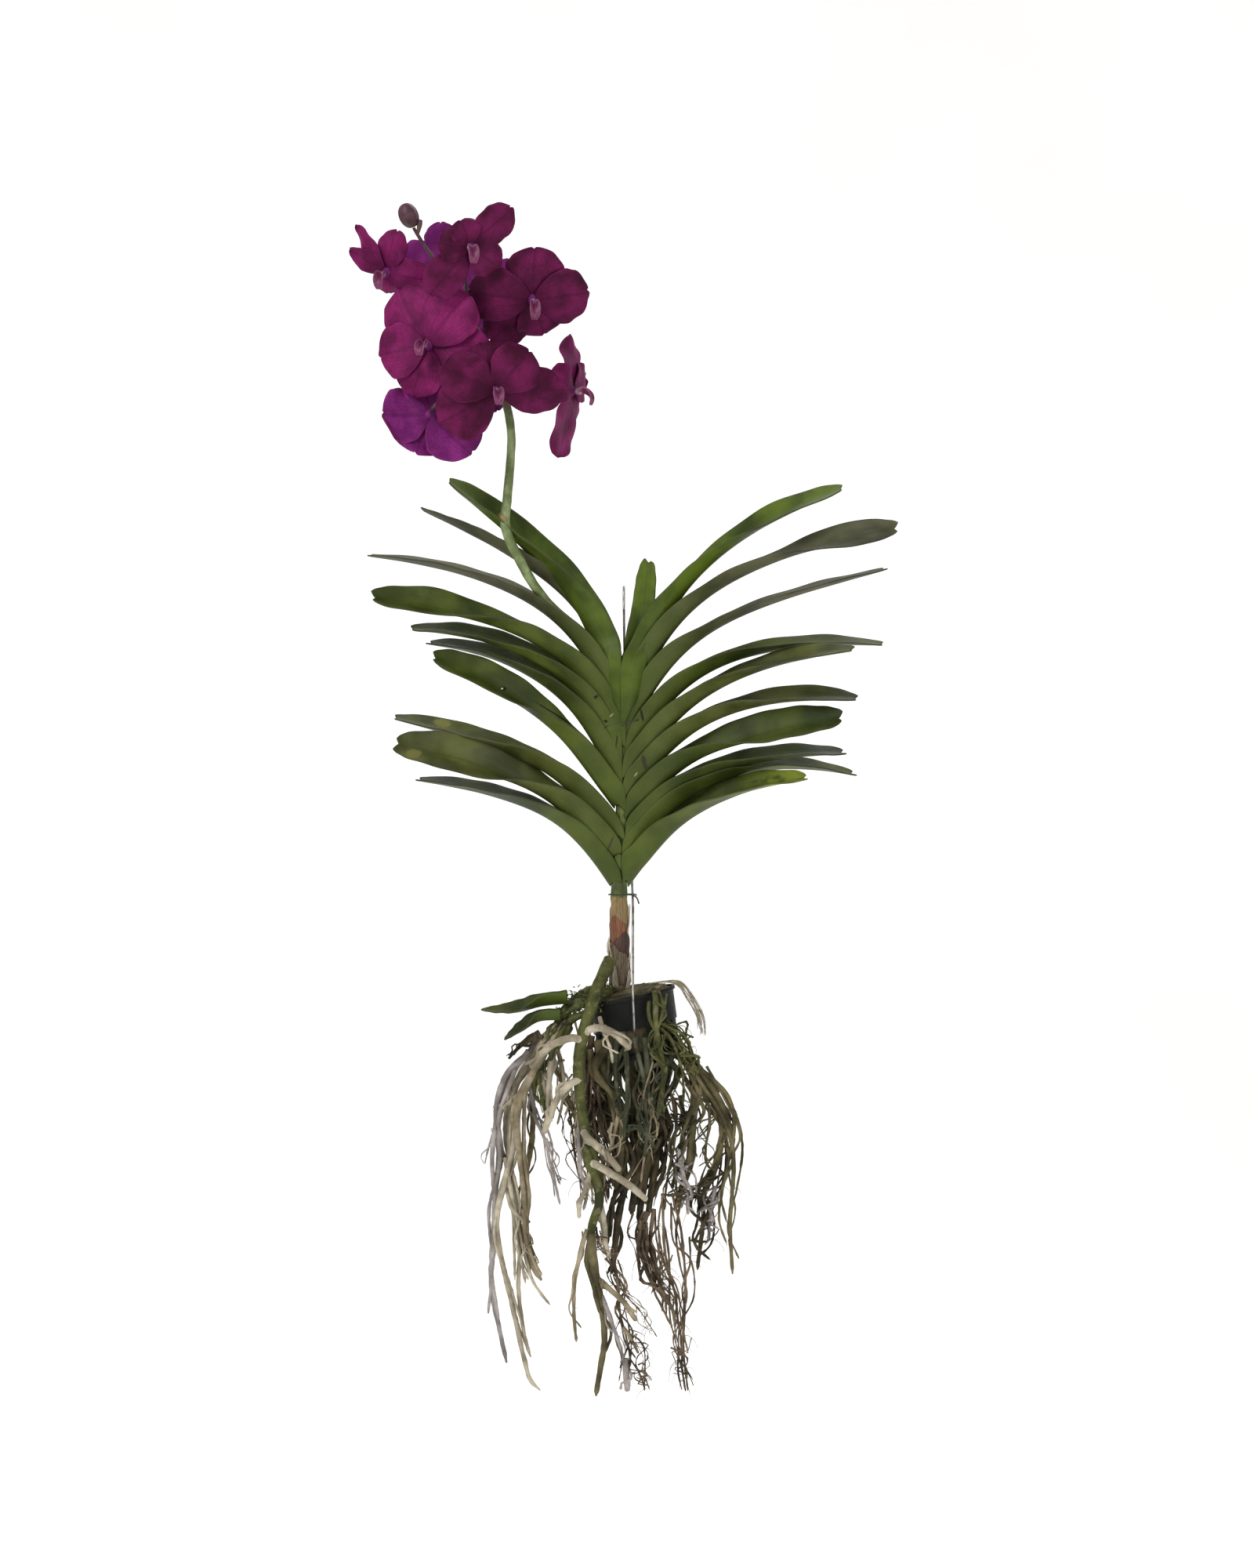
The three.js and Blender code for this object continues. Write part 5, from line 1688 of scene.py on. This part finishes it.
# Each row holds a root's points and its radii: a Strand's fields in order.
ROOTS: dict[RootGroup, dict[RootKind, tuple[tuple, ...]]] = {
    RootGroup.LEFT: {
        RootKind.PALE: (
            (((-53, -4, -362), (-69, -4, -382), (-83, -4, -399), (-91, -4, -418), (-93, -6, -440),
              (-91, -8, -459), (-102, -14, -504), (-105, -12, -527), (-102, -10, -550), (-96, -8, -577),
              (-89, -8, -608), (-83, -8, -635), (-77, -8, -656), (-69, -8, -664)), 3.0, 2.2),
            (((-55, 4, -367), (-70, 4, -390), (-87, 4, -409), (-96, 2, -428), (-98, 0, -454), (-94, -2, -479),
              (-86, -6, -531), (-87, -6, -583), (-81, -6, -625), (-77, -6, -637)), 2.6, 1.8),
            (((-98, -6, -472), (-94, -12, -494), (-85, -12, -536), (-82, -12, -550), (-74, -12, -575),
              (-61, -10, -593)), 2.2, 1.4),
            (((-86, -16, -418), (-94, -16, -425), (-103, -12, -431)), 1.6, 1.4),
            (((-57, -8, -378), (-60, -14, -392), (-62, -16, -413), (-63, -16, -432), (-66, -14, -450)), 3.4, 1.8),
            (((-67, -6, -386), (-67, -12, -402), (-65, -14, -421), (-64, -14, -440)), 2.6, 1.6),
            (((-55, -2, -382), (-50, -4, -405), (-51, -4, -427), (-55, -4, -445)), 2.0, 1.2),
        ),
        RootKind.TAN: (
            (((-48, -10, -359), (-59, -16, -373), (-68, -18, -388), (-77, -20, -405), (-85, -20, -422),
              (-88, -20, -442), (-86, -20, -464), (-83, -18, -490), (-81, -14, -517), (-80, -10, -543),
              (-75, -8, -562), (-68, -8, -573)), 3.6, 2.6),
            (((-83, -16, -513), (-80, -15, -539), (-74, -14, -557), (-68, -14, -568)), 2.2, 1.6),
            (((-44, -12, -357), (-58, -16, -365), (-70, -18, -378), (-76, -16, -388)), 2.6, 2.4),
        ),
        RootKind.LILAC: (
            (((-44, -6, -356), (-62, -12, -368), (-80, -14, -386), (-94, -14, -399), (-103, -12, -419),
              (-105, -10, -446), (-103, -8, -472), (-106, -8, -498), (-108, -8, -550), (-110, -8, -569),
              (-108, -8, -590), (-104, -8, -608), (-97, -8, -641)), 3.0, 2.2),
            (((-79, 0, -408), (-76, 0, -424), (-73, -2, -440), (-64, -4, -461), (-62, -4, -473),
              (-58, -4, -489), (-53, -4, -511)), 1.8, 1.2),
            (((-64, -4, -456), (-60, -6, -469), (-52, -6, -491)), 0.9, 0.6),
            (((-101, -10, -428), (-107, -9, -446), (-114, -8, -472), (-115, -8, -477)), 1.0, 0.7),
        ),
        RootKind.MOSSY: (
            (((-68, -16, -381), (-71, -18, -397), (-69, -17, -414), (-63, -15, -441)), 2.6, 1.6),
            (((-28, -18, -345), (-37, -16, -343), (-48, -14, -349), (-59, -16, -369), (-63, -16, -381)), 4.0, 3.0),
            (((-23, -16, -348), (-33, -20, -352), (-44, -20, -358), (-57, -18, -379), (-61, -16, -391)), 3.4, 2.6),
            (((-10, 2, -336), (-28, -4, -337), (-42, -8, -344), (-54, -10, -358)), 6.5, 5.0),
        ),
        RootKind.DARK: (
            (((-69, -18, -368), (-79, -20, -374), (-88, -20, -381), (-95, -20, -389)), 3.4, 1.4),
        ),
        RootKind.OLIVE: (
            (((-62, 0, -381), (-55, 2, -402), (-48, 4, -418), (-38, 4, -448)), 2.6, 1.8),
            (((-58, -2, -372), (-74, 4, -408), (-76, 8, -458), (-84, 6, -510), (-77, 2, -548), (-70, 0, -572)),
             2.6, 1.8),
        ),
    },
    RootGroup.THICK: {
        RootKind.MOSSY: (
            (((-11, -8, -308), (-17, -15, -320), (-24, -23, -338), (-30, -28, -357), (-35, -30, -376),
              (-37, -31, -398), (-35, -31, -424), (-32, -31, -450), (-28, -30, -472), (-22, -29, -490),
              (-20, -28, -505), (-24, -27, -518), (-28, -26, -534)), 5.4, 4.2, 0.9),
        ),
        RootKind.OLIVE: (
            (((-27, -26, -531), (-25, -25, -555), (-21, -24, -577), (-17, -24, -600), (-16, -24, -622),
              (-19, -24, -641), (-23, -24, -665)), 4.2, 2.6),
        ),
        RootKind.PALE: (
            (((-35, -31, -373), (-41, -35, -370), (-50, -37, -372), (-59, -36, -376), (-68, -35, -384),
              (-76, -33, -395)), 3.2, 3.0),
            (((-32, -29, -368), (-27, -35, -363), (-18, -39, -362), (-8, -41, -366), (0, -41, -373),
              (5, -38, -379)), 3.2, 3.0),
            (((-36, -32, -405), (-43, -38, -407), (-52, -40, -416), (-59, -40, -430), (-65, -38, -448)), 3.2, 2.9),
            (((-33, -31, -446), (-31, -37, -450), (-23, -41, -457), (-13, -42, -466), (-3, -42, -478)), 3.2, 3.0),
            (((-26, -31, -473), (-20, -36, -475), (-9, -40, -481), (5, -41, -490), (19, -40, -502)), 3.4, 3.0),
            (((-27, -29, -480), (-31, -33, -493), (-36, -33, -506), (-37, -32, -518)), 2.4, 1.8),
            (((-21, -24, -502), (-17, -21, -522), (-15, -20, -541), (-12, -18, -553)), 3.4, 2.4),
            (((-20, -28, -354), (-16, -35, -366), (-11, -37, -379), (-9, -35, -391)), 2.0, 1.4),
        ),
        RootKind.TAN: (
            (((-22, -24, -568), (-10, -29, -578), (1, -31, -588), (10, -31, -602)), 2.4, 2.4),
            (((-1, -28, -608), (6, -30, -617), (12, -30, -629)), 2.0, 1.2),
            (((-30, -26, -528), (-35, -28, -544), (-40, -28, -569), (-41, -27, -595), (-39, -26, -620)), 2.2, 1.6),
        ),
        RootKind.LILAC: (
            (((-36, -28, -437), (-37, -31, -451), (-36, -31, -466), (-35, -30, -482), (-30, -29, -496),
              (-33, -28, -512)), 2.0, 1.5),
            (((-18, -24, -583), (-10, -30, -603), (-3, -30, -624), (1, -30, -642)), 2.0, 1.5),
            (((1, -29, -633), (2, -30, -646), (3, -30, -660)), 2.6, 2.6),
        ),
        RootKind.SAGE: (
            (((-1, -26, -366), (2, -28, -386), (3, -28, -408), (2, -28, -431), (0, -27, -454)), 2.4, 1.8),
            (((2, -26, -447), (10, -29, -444), (19, -30, -449), (25, -28, -461)), 2.0, 1.6),
        ),
    },
    RootGroup.MASS: {
        RootKind.DARK: (
            (((-10, 0, -373), (-13, 4, -399), (-17, 4, -422), (-11, 2, -447), (-4, 0, -467), (1, -2, -492),
              (-4, -4, -518), (-10, -6, -568)), 4.6, 3.0),
            (((3, 0, -376), (6, 0, -402), (10, 0, -434), (12, -2, -466), (10, -4, -492), (6, -6, -519)), 5.0, 3.4),
            (((12, 6, -376), (16, 6, -409), (20, 6, -441), (20, 4, -474), (16, 2, -499), (12, 0, -526)), 5.0, 3.2),
            (((22, 8, -376), (25, 10, -406), (27, 10, -442), (26, 8, -474), (20, 4, -522)), 4.6, 3.0),
            (((32, 10, -377), (37, 10, -396), (33, 8, -422), (30, 8, -455), (23, 4, -508)), 4.0, 2.6),
            (((10, 18, -377), (8, 24, -411), (10, 26, -450), (16, 22, -483), (10, 14, -514)), 4.4, 3.0),
            (((-4, 14, -377), (-12, 18, -404), (-14, 18, -430), (-8, 14, -462), (-3, 8, -494)), 3.6, 2.4),
            (((63, 12, -408), (76, 12, -429), (84, 12, -452), (86, 12, -472), (84, 12, -491), (77, 12, -509),
              (66, 12, -533)), 2.0, 1.6),
            (((72, 6, -484), (66, 6, -507), (66, 6, -524), (61, 6, -567)), 2.2, 1.8),
            (((34, -4, -408), (40, -6, -423), (43, -6, -440), (42, -6, -459), (35, -6, -495), (34, -6, -515)),
             1.4, 1.1),
            (((30, -4, -436), (42, -5, -440), (55, -2, -441)), 0.8, 0.7),
            (((35, -2, -416), (45, -4, -429), (55, -2, -448)), 0.8, 0.6),
            (((31, -4, -503), (45, -8, -502), (57, -8, -498), (71, -4, -493), (83, 4, -485)), 1.2, 1.0),
            (((-29, -4, -395), (-23, -8, -417), (-17, -8, -436), (-8, -8, -473)), 1.4, 1.0),
            (((-32, -2, -414), (-25, -2, -447), (-16, -4, -469), (3, -4, -506)), 1.2, 0.9),
            (((-51, 6, -415), (-45, 8, -438), (-42, 8, -458), (-40, 8, -478), (-32, 8, -511)), 1.0, 0.7),
        ),
        RootKind.OLIVE: (
            (((43, 4, -386), (55, 2, -397), (59, 2, -418), (57, 2, -444), (55, 2, -470), (49, 2, -496),
              (42, 2, -516)), 4.4, 3.0),
            (((46, 0, -381), (57, -2, -392), (69, -2, -408), (81, -2, -429), (88, -2, -453), (91, -2, -476),
              (90, -2, -499), (88, -2, -525), (90, -2, -569)), 3.0, 1.8),
            (((47, 8, -389), (61, 10, -403), (73, 10, -424), (81, 10, -448), (80, 10, -471), (75, 10, -488),
              (68, 10, -502), (61, 10, -520)), 3.0, 2.0),
            (((61, 4, -409), (70, 4, -428), (71, 4, -448), (68, 4, -464), (69, 4, -479), (76, 4, -485)), 1.6, 1.2),
            (((-20, -4, -375), (-16, -8, -401), (-9, -8, -427), (-4, -8, -446), (-3, -10, -472),
              (-6, -10, -499)), 5.0, 3.4),
        ),
        RootKind.TAN: (
            (((-33, -6, -352), (-36, -5, -380), (-34, -4, -412), (-36, -2, -446), (-28, 0, -480),
              (-26, 0, -512)), 1.6, 1.1),
            (((-3, -14, -430), (-8, -14, -452), (-13, -12, -474), (-18, -10, -500)), 1.8, 1.2),
            (((24, -16, -384), (20, -18, -410), (22, -16, -440), (17, -14, -468), (14, -12, -492)), 1.4, 1.0),
        ),
        RootKind.BROWN: (
            (((-26, 2, -372), (-30, 2, -396), (-28, 3, -424), (-31, 3, -452), (-24, 2, -486), (-17, 1, -518)),
             2.4, 1.6),
            (((-21, 6, -374), (-24, 7, -404), (-20, 6, -436), (-24, 6, -466), (-15, 4, -502)), 2.6, 1.8),
            (((-16, -4, -376), (-22, -3, -408), (-25, -2, -440), (-19, -2, -470), (-13, -3, -508)), 1.8, 1.3),
            (((-34, 4, -380), (-39, 4, -404), (-37, 6, -434), (-33, 6, -460), (-29, 6, -494)), 1.4, 1.0),
        ),
        RootKind.SAGE: (
            (((43, -6, -379), (39, -12, -389), (34, -15, -403), (30, -15, -421), (27, -14, -440)), 3.0, 2.0),
            (((-5, -20, -371), (-7, -22, -394), (-5, -22, -417), (-1, -20, -438)), 2.6, 1.8),
            (((17, -22, -371), (19, -22, -393), (17, -20, -419), (19, -18, -445), (17, -16, -470)), 2.6, 1.8),
            (((47, 8, -422), (50, 6, -448), (47, 4, -474), (40, 2, -499)), 2.2, 1.6),
        ),
        RootKind.MOSSY: (
            (((24, -18, -333), (25, -26, -332), (26, -31, -342), (26, -33, -357), (28, -31, -373),
              (32, -28, -392), (32, -26, -412), (29, -24, -435)), 2.4, 2.0),
            (((32, -22, -360), (43, -20, -369), (50, -16, -381), (56, -12, -392), (62, -8, -403)), 1.8, 1.4),
            (((35, -16, -358), (45, -16, -366), (53, -12, -377), (58, -8, -389), (67, -4, -404)), 1.6, 1.2),
            (((30, -26, -363), (39, -25, -373), (45, -20, -388), (49, -14, -407), (49, -10, -427)), 1.6, 1.2),
        ),
        RootKind.LILAC: (
            (((45, -2, -466), (49, -7, -485), (52, -8, -503), (53, -8, -519)), 2.0, 1.6),
            (((76, 4, -497), (72, 4, -519), (70, 4, -543)), 1.8, 1.2),
        ),
    },
    RootGroup.FINE: {
        RootKind.BROWN: (
            (((19, -4, -517), (14, -8, -537), (17, -10, -556), (22, -12, -572), (32, -12, -585),
              (40, -12, -596), (42, -12, -608)), 2.6, 1.6),
            (((25, -2, -515), (22, -6, -540), (26, -8, -558), (30, -10, -575), (43, -11, -603)), 1.6, 1.2),
            (((16, -4, -518), (10, -10, -533), (13, -13, -549), (19, -14, -565), (34, -13, -590)), 1.2, 0.8),
            (((32, -4, -505), (33, -6, -534), (34, -6, -550), (39, -6, -571), (43, -6, -589), (45, -6, -609),
              (48, -6, -625), (48, -6, -644), (51, -6, -665)), 1.3, 1.0),
            (((40, -2, -502), (47, -4, -531), (50, -4, -557), (51, -4, -583), (50, -4, -609), (49, -4, -628),
              (53, -4, -665)), 1.3, 1.0),
            (((50, -5, -623), (45, -8, -637), (45, -8, -650), (48, -8, -664)), 0.9, 0.7),
            (((-10, -10, -561), (1, -26, -581), (12, -27, -593), (27, -26, -616)), 0.8, 0.5),
            (((-10, -10, -547), (-5, -24, -573), (-3, -27, -598), (2, -27, -617), (5, -26, -634),
              (3, -26, -650), (2, -26, -661)), 1.4, 1.0),
            (((1, -27, -612), (10, -29, -616), (16, -29, -623), (17, -28, -660)), 0.8, 0.7),
            (((5, -26, -634), (12, -28, -644), (16, -28, -654), (17, -28, -660)), 0.8, 0.6),
            (((34, -6, -549), (30, -8, -563), (32, -8, -579), (40, -9, -594)), 1.0, 0.7),
            (((-23, -20, -527), (-20, -22, -541), (-15, -20, -549), (-10, -14, -557)), 1.0, 0.7),
        ),
    },
}


@dataclass(frozen=True)
class Growth:
    """Random roots that go with the drawn ones: how many beside each, how far they stray, and their thickness."""

    beside: int
    stray: float
    thin: tuple[float, float]  # the least and the greatest share of the drawn root's radius
    hairs: int = 0
    hair_reach: float = 8.0
    hair_radius: float = 0.22


@dataclass(frozen=True)
class RootSkirt:
    """The roots: each drawn strand with its companions and hairs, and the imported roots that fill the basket."""

    seed: int = 11
    growth: tuple[tuple[RootGroup, Growth], ...] = (
        (RootGroup.LEFT, Growth(2, 6.0, (0.4, 0.8), hairs=14, hair_reach=6.0)),
        (RootGroup.THICK, Growth(1, 6.0, (0.35, 0.6), hairs=10, hair_reach=6.0)),
        (RootGroup.MASS, Growth(4, 10.0, (0.35, 0.75), hairs=140, hair_reach=12.0)),
        (RootGroup.FINE, Growth(4, 8.0, (0.4, 0.8), hairs=110, hair_reach=13.0)),
    )

    @staticmethod
    def _beside(strand: Strand, growth: Growth, dice: random.Random) -> Strand:
        """A thinner root that wanders beside a drawn one."""
        route = Route(strand.points)
        shares = np.linspace(dice.uniform(0, 0.25), dice.uniform(0.75, 1), 6)
        points = route.at(shares)
        drift = [[dice.uniform(-1, 1) * growth.stray for _ in range(3)] for _ in shares]
        points = points + np.array(drift) * (1, 1, 0.5)
        thin = dice.uniform(*growth.thin)
        return Strand(tuple(map(tuple, points.tolist())), strand.start * thin, strand.end * thin)

    @staticmethod
    def _hair(strand: Strand, growth: Growth, dice: random.Random) -> Strand:
        """A short hair that leaves a root and droops."""
        share = dice.uniform(0.1, 0.98)
        start = Route(strand.points).at(share)
        turn = dice.uniform(0, math.tau)
        out = np.array((math.cos(turn), math.sin(turn), dice.uniform(-0.8, 0.4)))
        reach = growth.hair_reach * dice.uniform(0.4, 1.2)
        bend = np.array([dice.uniform(-0.3, 0.3) for _ in range(3)])
        points = [start, start + out * reach * 0.4, start + (out + bend) * reach * 0.8 + (0, 0, -reach * 0.25)]
        points.append(points[-1] + (out * 0.3 + bend) * reach * 0.4 + (0, 0, -reach * 0.35))
        radius = growth.hair_radius * dice.uniform(0.7, 1.4)
        return Strand(tuple(map(tuple, np.array(points).tolist())), radius, radius * 0.6)

    def _fill(self, basket: Basket) -> Object:
        """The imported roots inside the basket, as a rough plug that bulges over the rim."""
        gap = 0.4
        inside = [(basket.radius(h) - basket.wall - gap, h) for h in np.linspace(-basket.height + 2, -2, 9)]
        hole = basket.floor_hole - gap
        stations = [
            (6, -basket.height - 6), (hole - 3, -basket.height - 5), (hole, -basket.height),
            (hole, -basket.height + 1.9),
            *inside, (inside[-1][0] - 6, 2.0), (inside[-1][0] - 16, 4.2), (8, 5.6), (2, 6.0),
        ]
        centres = [np.array((0, 0, h * MM)) for _, h in stations]
        plug = ring_stack(centres, [r * MM for r, _ in stations], 48)
        basket.put(plug)
        select_only(plug)
        bpy.ops.object.transform_apply(location=True, rotation=True, scale=True)
        roughen(plug, -0.9, 4.0, 3.0)
        return plug

    def _litter(self, basket: Basket, count: int, dice: random.Random) -> list[Strand]:
        """Short roots that lie coiled over the plug's top and just inside its wall."""
        tilt = math.radians(basket.tilt)
        made = []
        for _ in range(count):
            radius, turn = 32 * math.sqrt(dice.random()), dice.uniform(0, math.tau)
            sweep, inward = dice.uniform(-1.6, 1.6), dice.uniform(0.75, 1.1)
            points = []
            for t in np.linspace(0, 1, 6):
                r = min(33.0, radius * (1 + (inward - 1) * t))
                x, y = r * math.cos(turn + sweep * t), r * math.sin(turn + sweep * t)
                z = 5.4 - 0.0052 * r**2 + dice.uniform(-0.6, 0.9)
                across = x * math.cos(tilt) - z * math.sin(tilt)
                up = x * math.sin(tilt) + z * math.cos(tilt)
                points.append((basket.centre[0] + across, basket.centre[1] + y, basket.centre[2] + up))
            made.append(Strand(tuple(points), dice.uniform(0.9, 1.9), dice.uniform(0.7, 1.4)))
        return made

    def build(self, basket: Basket) -> None:
        """Builds all roots."""
        dice = random.Random(self.seed)
        for group, growth in self.growth:
            node, slot = group.value
            drawn = {kind: [Strand(*row) for row in rows] for kind, rows in ROOTS[group].items()}
            for kind, strands in drawn.items():
                grown = list(strands)
                for strand in strands:
                    grown += [self._beside(strand, growth, dice) for _ in range(growth.beside)]
                roots = tubes(grown, rounds=2, step=4.0)
                roughen(roots, 0.5, 5.0, 1.0)
                roughen(roots, 0.25, 1.6, 4.0)
                dress(roots, kind.material())
                finish_piece(roots, f"{node}_{kind.name.lower()}", [node])
            every = [strand for strands in drawn.values() for strand in strands]
            hairs = tubes([self._hair(dice.choice(every), growth, dice) for _ in range(growth.hairs)], 0, 3.0)
            dress(hairs, RootKind.BROWN.material())
            finish_piece(hairs, f"{node}_hairs")
        fill = self._fill(basket)
        dress(fill, RootKind.DARK.material())
        finish_piece(fill, "root_mass_fill", ["root_mass"])
        litter = tubes(self._litter(basket, 110, dice), 1, 3.0)
        dress(litter, RootKind.OLIVE.material())
        finish_piece(litter, "root_mass_litter")


# --- moss and dry fibres


@dataclass(frozen=True)
class MossFinish:
    """Short moss: dark green and yellow-green patches, with brownish blotches."""

    def material(self) -> Material:
        """The finish as a material."""
        graph = Graph("moss_green")
        place = graph.place()
        cloud = graph.noise(place, 130.0, 3.0)
        colour = graph.mix(cloud.rise(0.35, 0.65), "2a3416", "5c6a30")
        colour = graph.mix(graph.noise(place, 400.0).rise(0.55, 0.7) * 0.5, colour, "4f3d22")
        return graph.dress(Base_Color=colour, Roughness=0.8 + cloud * 0.1, Normal=graph.bump(cloud, 0.2))


@dataclass(frozen=True)
class Moss:
    """Tufts of moss on the roots by the rim: a line that they follow, how wide they spread, and how many."""

    cushions: tuple[tuple[Point, Point, float, int], ...] = (
        ((-20, -22, -342), (-50, -14, -352), 6.5, 380),
        ((-16, -16, -328), (-30, -22, -344), 5.0, 120),
        ((-30, -8, -338), (-46, -8, -342), 6.0, 140),
    )
    length: tuple[float, float] = (2.0, 5.5)
    seed: int = 5

    def build(self) -> None:
        """Builds the tufts as one piece."""
        dice = random.Random(self.seed)
        blades = []
        for start, end, spread, count in self.cushions:
            for _ in range(count):
                share = dice.random()
                base = np.array(start) * (1 - share) + np.array(end) * share
                base = base + [dice.gauss(0, spread * 0.5) for _ in range(3)]
                way = np.array((dice.uniform(-0.8, 0.8), dice.uniform(-1.0, 0.3), dice.uniform(-0.1, 1.0)))
                reach = dice.uniform(*self.length)
                points = (base, base + way * reach * 0.6, base + way * reach + (0, 0, -0.3 * reach))
                blades.append(Strand(tuple(tuple(p.tolist()) for p in points), 0.55, 0.3))
        moss = tubes(blades, 0, 2.5)
        dress(moss, MossFinish().material())
        finish_piece(moss, "moss_tufts")


@dataclass(frozen=True)
class Wisp:
    """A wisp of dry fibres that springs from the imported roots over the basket's right edge."""

    fibres: tuple[tuple[Point, ...], ...] = (
        ((20, 10, -329.4), (34, 8, -327.2), (43, 7, -327), (54, 6, -339), (63, 5, -355), (65, 5, -371)),
        ((20, 10, -329.4), (34, 8, -327.4), (47, 9, -327.6), (58, 9, -341), (66, 8, -357), (68, 8, -372)),
        ((20, 10, -329.4), (34, 8, -327.6), (44, 5, -329), (52, 3, -341), (60, 2, -354), (63, 2, -366)),
    )
    companions: int = 5
    stray: float = 2.2
    seed: int = 23

    def build(self) -> None:
        """Builds the wisp."""
        dice = random.Random(self.seed)
        strands = []
        for points in self.fibres:
            strands.append(Strand(points, 0.7, 0.45))
            for _ in range(self.companions):
                shift = [np.array([dice.uniform(-1, 1) * self.stray * i / 5 for _ in range(3)]) for i in range(6)]
                moved = tuple(tuple((np.array(p) + s).tolist()) for p, s in zip(points, shift))
                strands.append(Strand(moved, 0.4, 0.25))
        wisp = tubes(strands, 0, 3.0)
        dress(wisp, SheathFinish("wisp_dry", "8a7f66", "cfc6b0").material())
        finish_piece(wisp, "fibre_wisp_dry", ["fibre_wisp"])


# --- studio


@dataclass(frozen=True)
class Softbox:
    """A square light: where it stands and what it looks at, in metres, its size, power and colour."""

    name: str
    place: Point
    target: Point
    size: float
    power: float
    colour: tuple[float, float, float] = (1.0, 1.0, 1.0)


@dataclass(frozen=True)
class Studio:
    """The pale floor that curves up into a backdrop, the lights and the camera."""

    floor: float = -0.95
    half_width: float = 5.0
    front: float = -4.2
    back: float = 3.6
    curve: float = 0.8
    top: float = 4.4
    tone: str = "f1f0ee"
    glow: float = 0.37  # the light that the paper itself gives
    air: float = 0.34  # the strength of the ambient light
    eye: Point = (0.0026, -2.307, -0.163)
    seen_height: float = 1.3  # how much of the fan's plane the frame shows, in metres
    softboxes: tuple[Softbox, ...] = (
        Softbox("key_light", (-1.7, -2.2, 1.7), (0, 0, -0.15), 1.6, 62),
        Softbox("fill_light", (2.0, -2.0, 0.4), (0, 0, -0.15), 2.0, 22),
        Softbox("back_light", (0.4, 1.2, 1.8), (0, 0, -0.1), 1.4, 16),
    )

    def _backdrop(self) -> None:
        """The floor and the backdrop as one curved sheet."""
        profile = [(self.front, self.floor), (self.back - self.curve, self.floor)]
        for step in range(1, 9):
            turn = step / 8 * math.pi / 2
            profile.append((
                self.back - self.curve + self.curve * math.sin(turn),
                self.floor + self.curve - self.curve * math.cos(turn),
            ))
        profile.append((self.back, self.top))
        across = np.linspace(-self.half_width, self.half_width, 5)
        rows = [np.stack([across, np.full(5, y), np.full(5, z)], axis=-1) for y, z in profile]
        drop = sheet(np.stack(rows))
        drop.name = "studio_backdrop"
        bpy.ops.object.shade_smooth()
        graph = Graph("studio_paper")
        cloud = graph.noise(graph.place(), 1.5, 2.0)
        tone = graph.mix(cloud, self.tone, "ffffff")
        dress(drop, graph.dress(Base_Color=tone, Roughness=0.9, Emission_Color=tone, Emission_Strength=self.glow))

    def _light(self, box: Softbox) -> None:
        """Adds one softbox."""
        aim = Vector(box.target) - Vector(box.place)
        bpy.ops.object.light_add(type="AREA", location=box.place, rotation=aim.to_track_quat("-Z", "Y").to_euler())
        light = bpy.context.object
        light.name = box.name
        light.data.shape = "SQUARE"
        light.data.size = box.size
        light.data.energy = box.power
        light.data.color = box.colour

    def build(self) -> None:
        """Builds the stage, the lights, the ambient light and the camera."""
        self._backdrop()
        for box in self.softboxes:
            self._light(box)
        world = bpy.data.worlds.new("studio_air")
        world.use_nodes = True
        sky = world.node_tree.nodes["Background"]
        sky.inputs["Color"].default_value = (1, 1, 1, 1)
        sky.inputs["Strength"].default_value = self.air
        bpy.context.scene.world = world
        bpy.context.scene.view_settings.view_transform = "Standard"
        bpy.ops.object.camera_add(location=self.eye, rotation=(math.pi / 2, 0, 0))
        camera = bpy.context.object
        camera.name = "studio_camera"
        camera.data.sensor_fit = "VERTICAL"
        camera.data.sensor_height = 36.0
        distance = -FAN_SET_FORWARD * MM - self.eye[1]
        camera.data.lens = camera.data.sensor_height * distance / self.seen_height
        bpy.context.scene.camera = camera


# --- build


def main() -> None:
    """Builds the plant, its basket and the studio."""
    logging.basicConfig(level=logging.INFO, format="%(name)s %(message)s")
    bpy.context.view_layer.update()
    stem = Stem()
    stem.build()
    for leaf in LEAVES:
        leaf.build(stem)
    for bloom in BLOOMS:
        bloom.build()
    Lip().build(BLOOMS)
    FlowerSpike().build(BLOOMS)
    Bud().build()
    basket = Basket()
    basket.build()
    Hanger().build()
    Ties().build()
    RootSkirt().build(basket)
    Moss().build()
    Wisp().build()
    Studio().build()


if __name__ == "__main__":
    main()
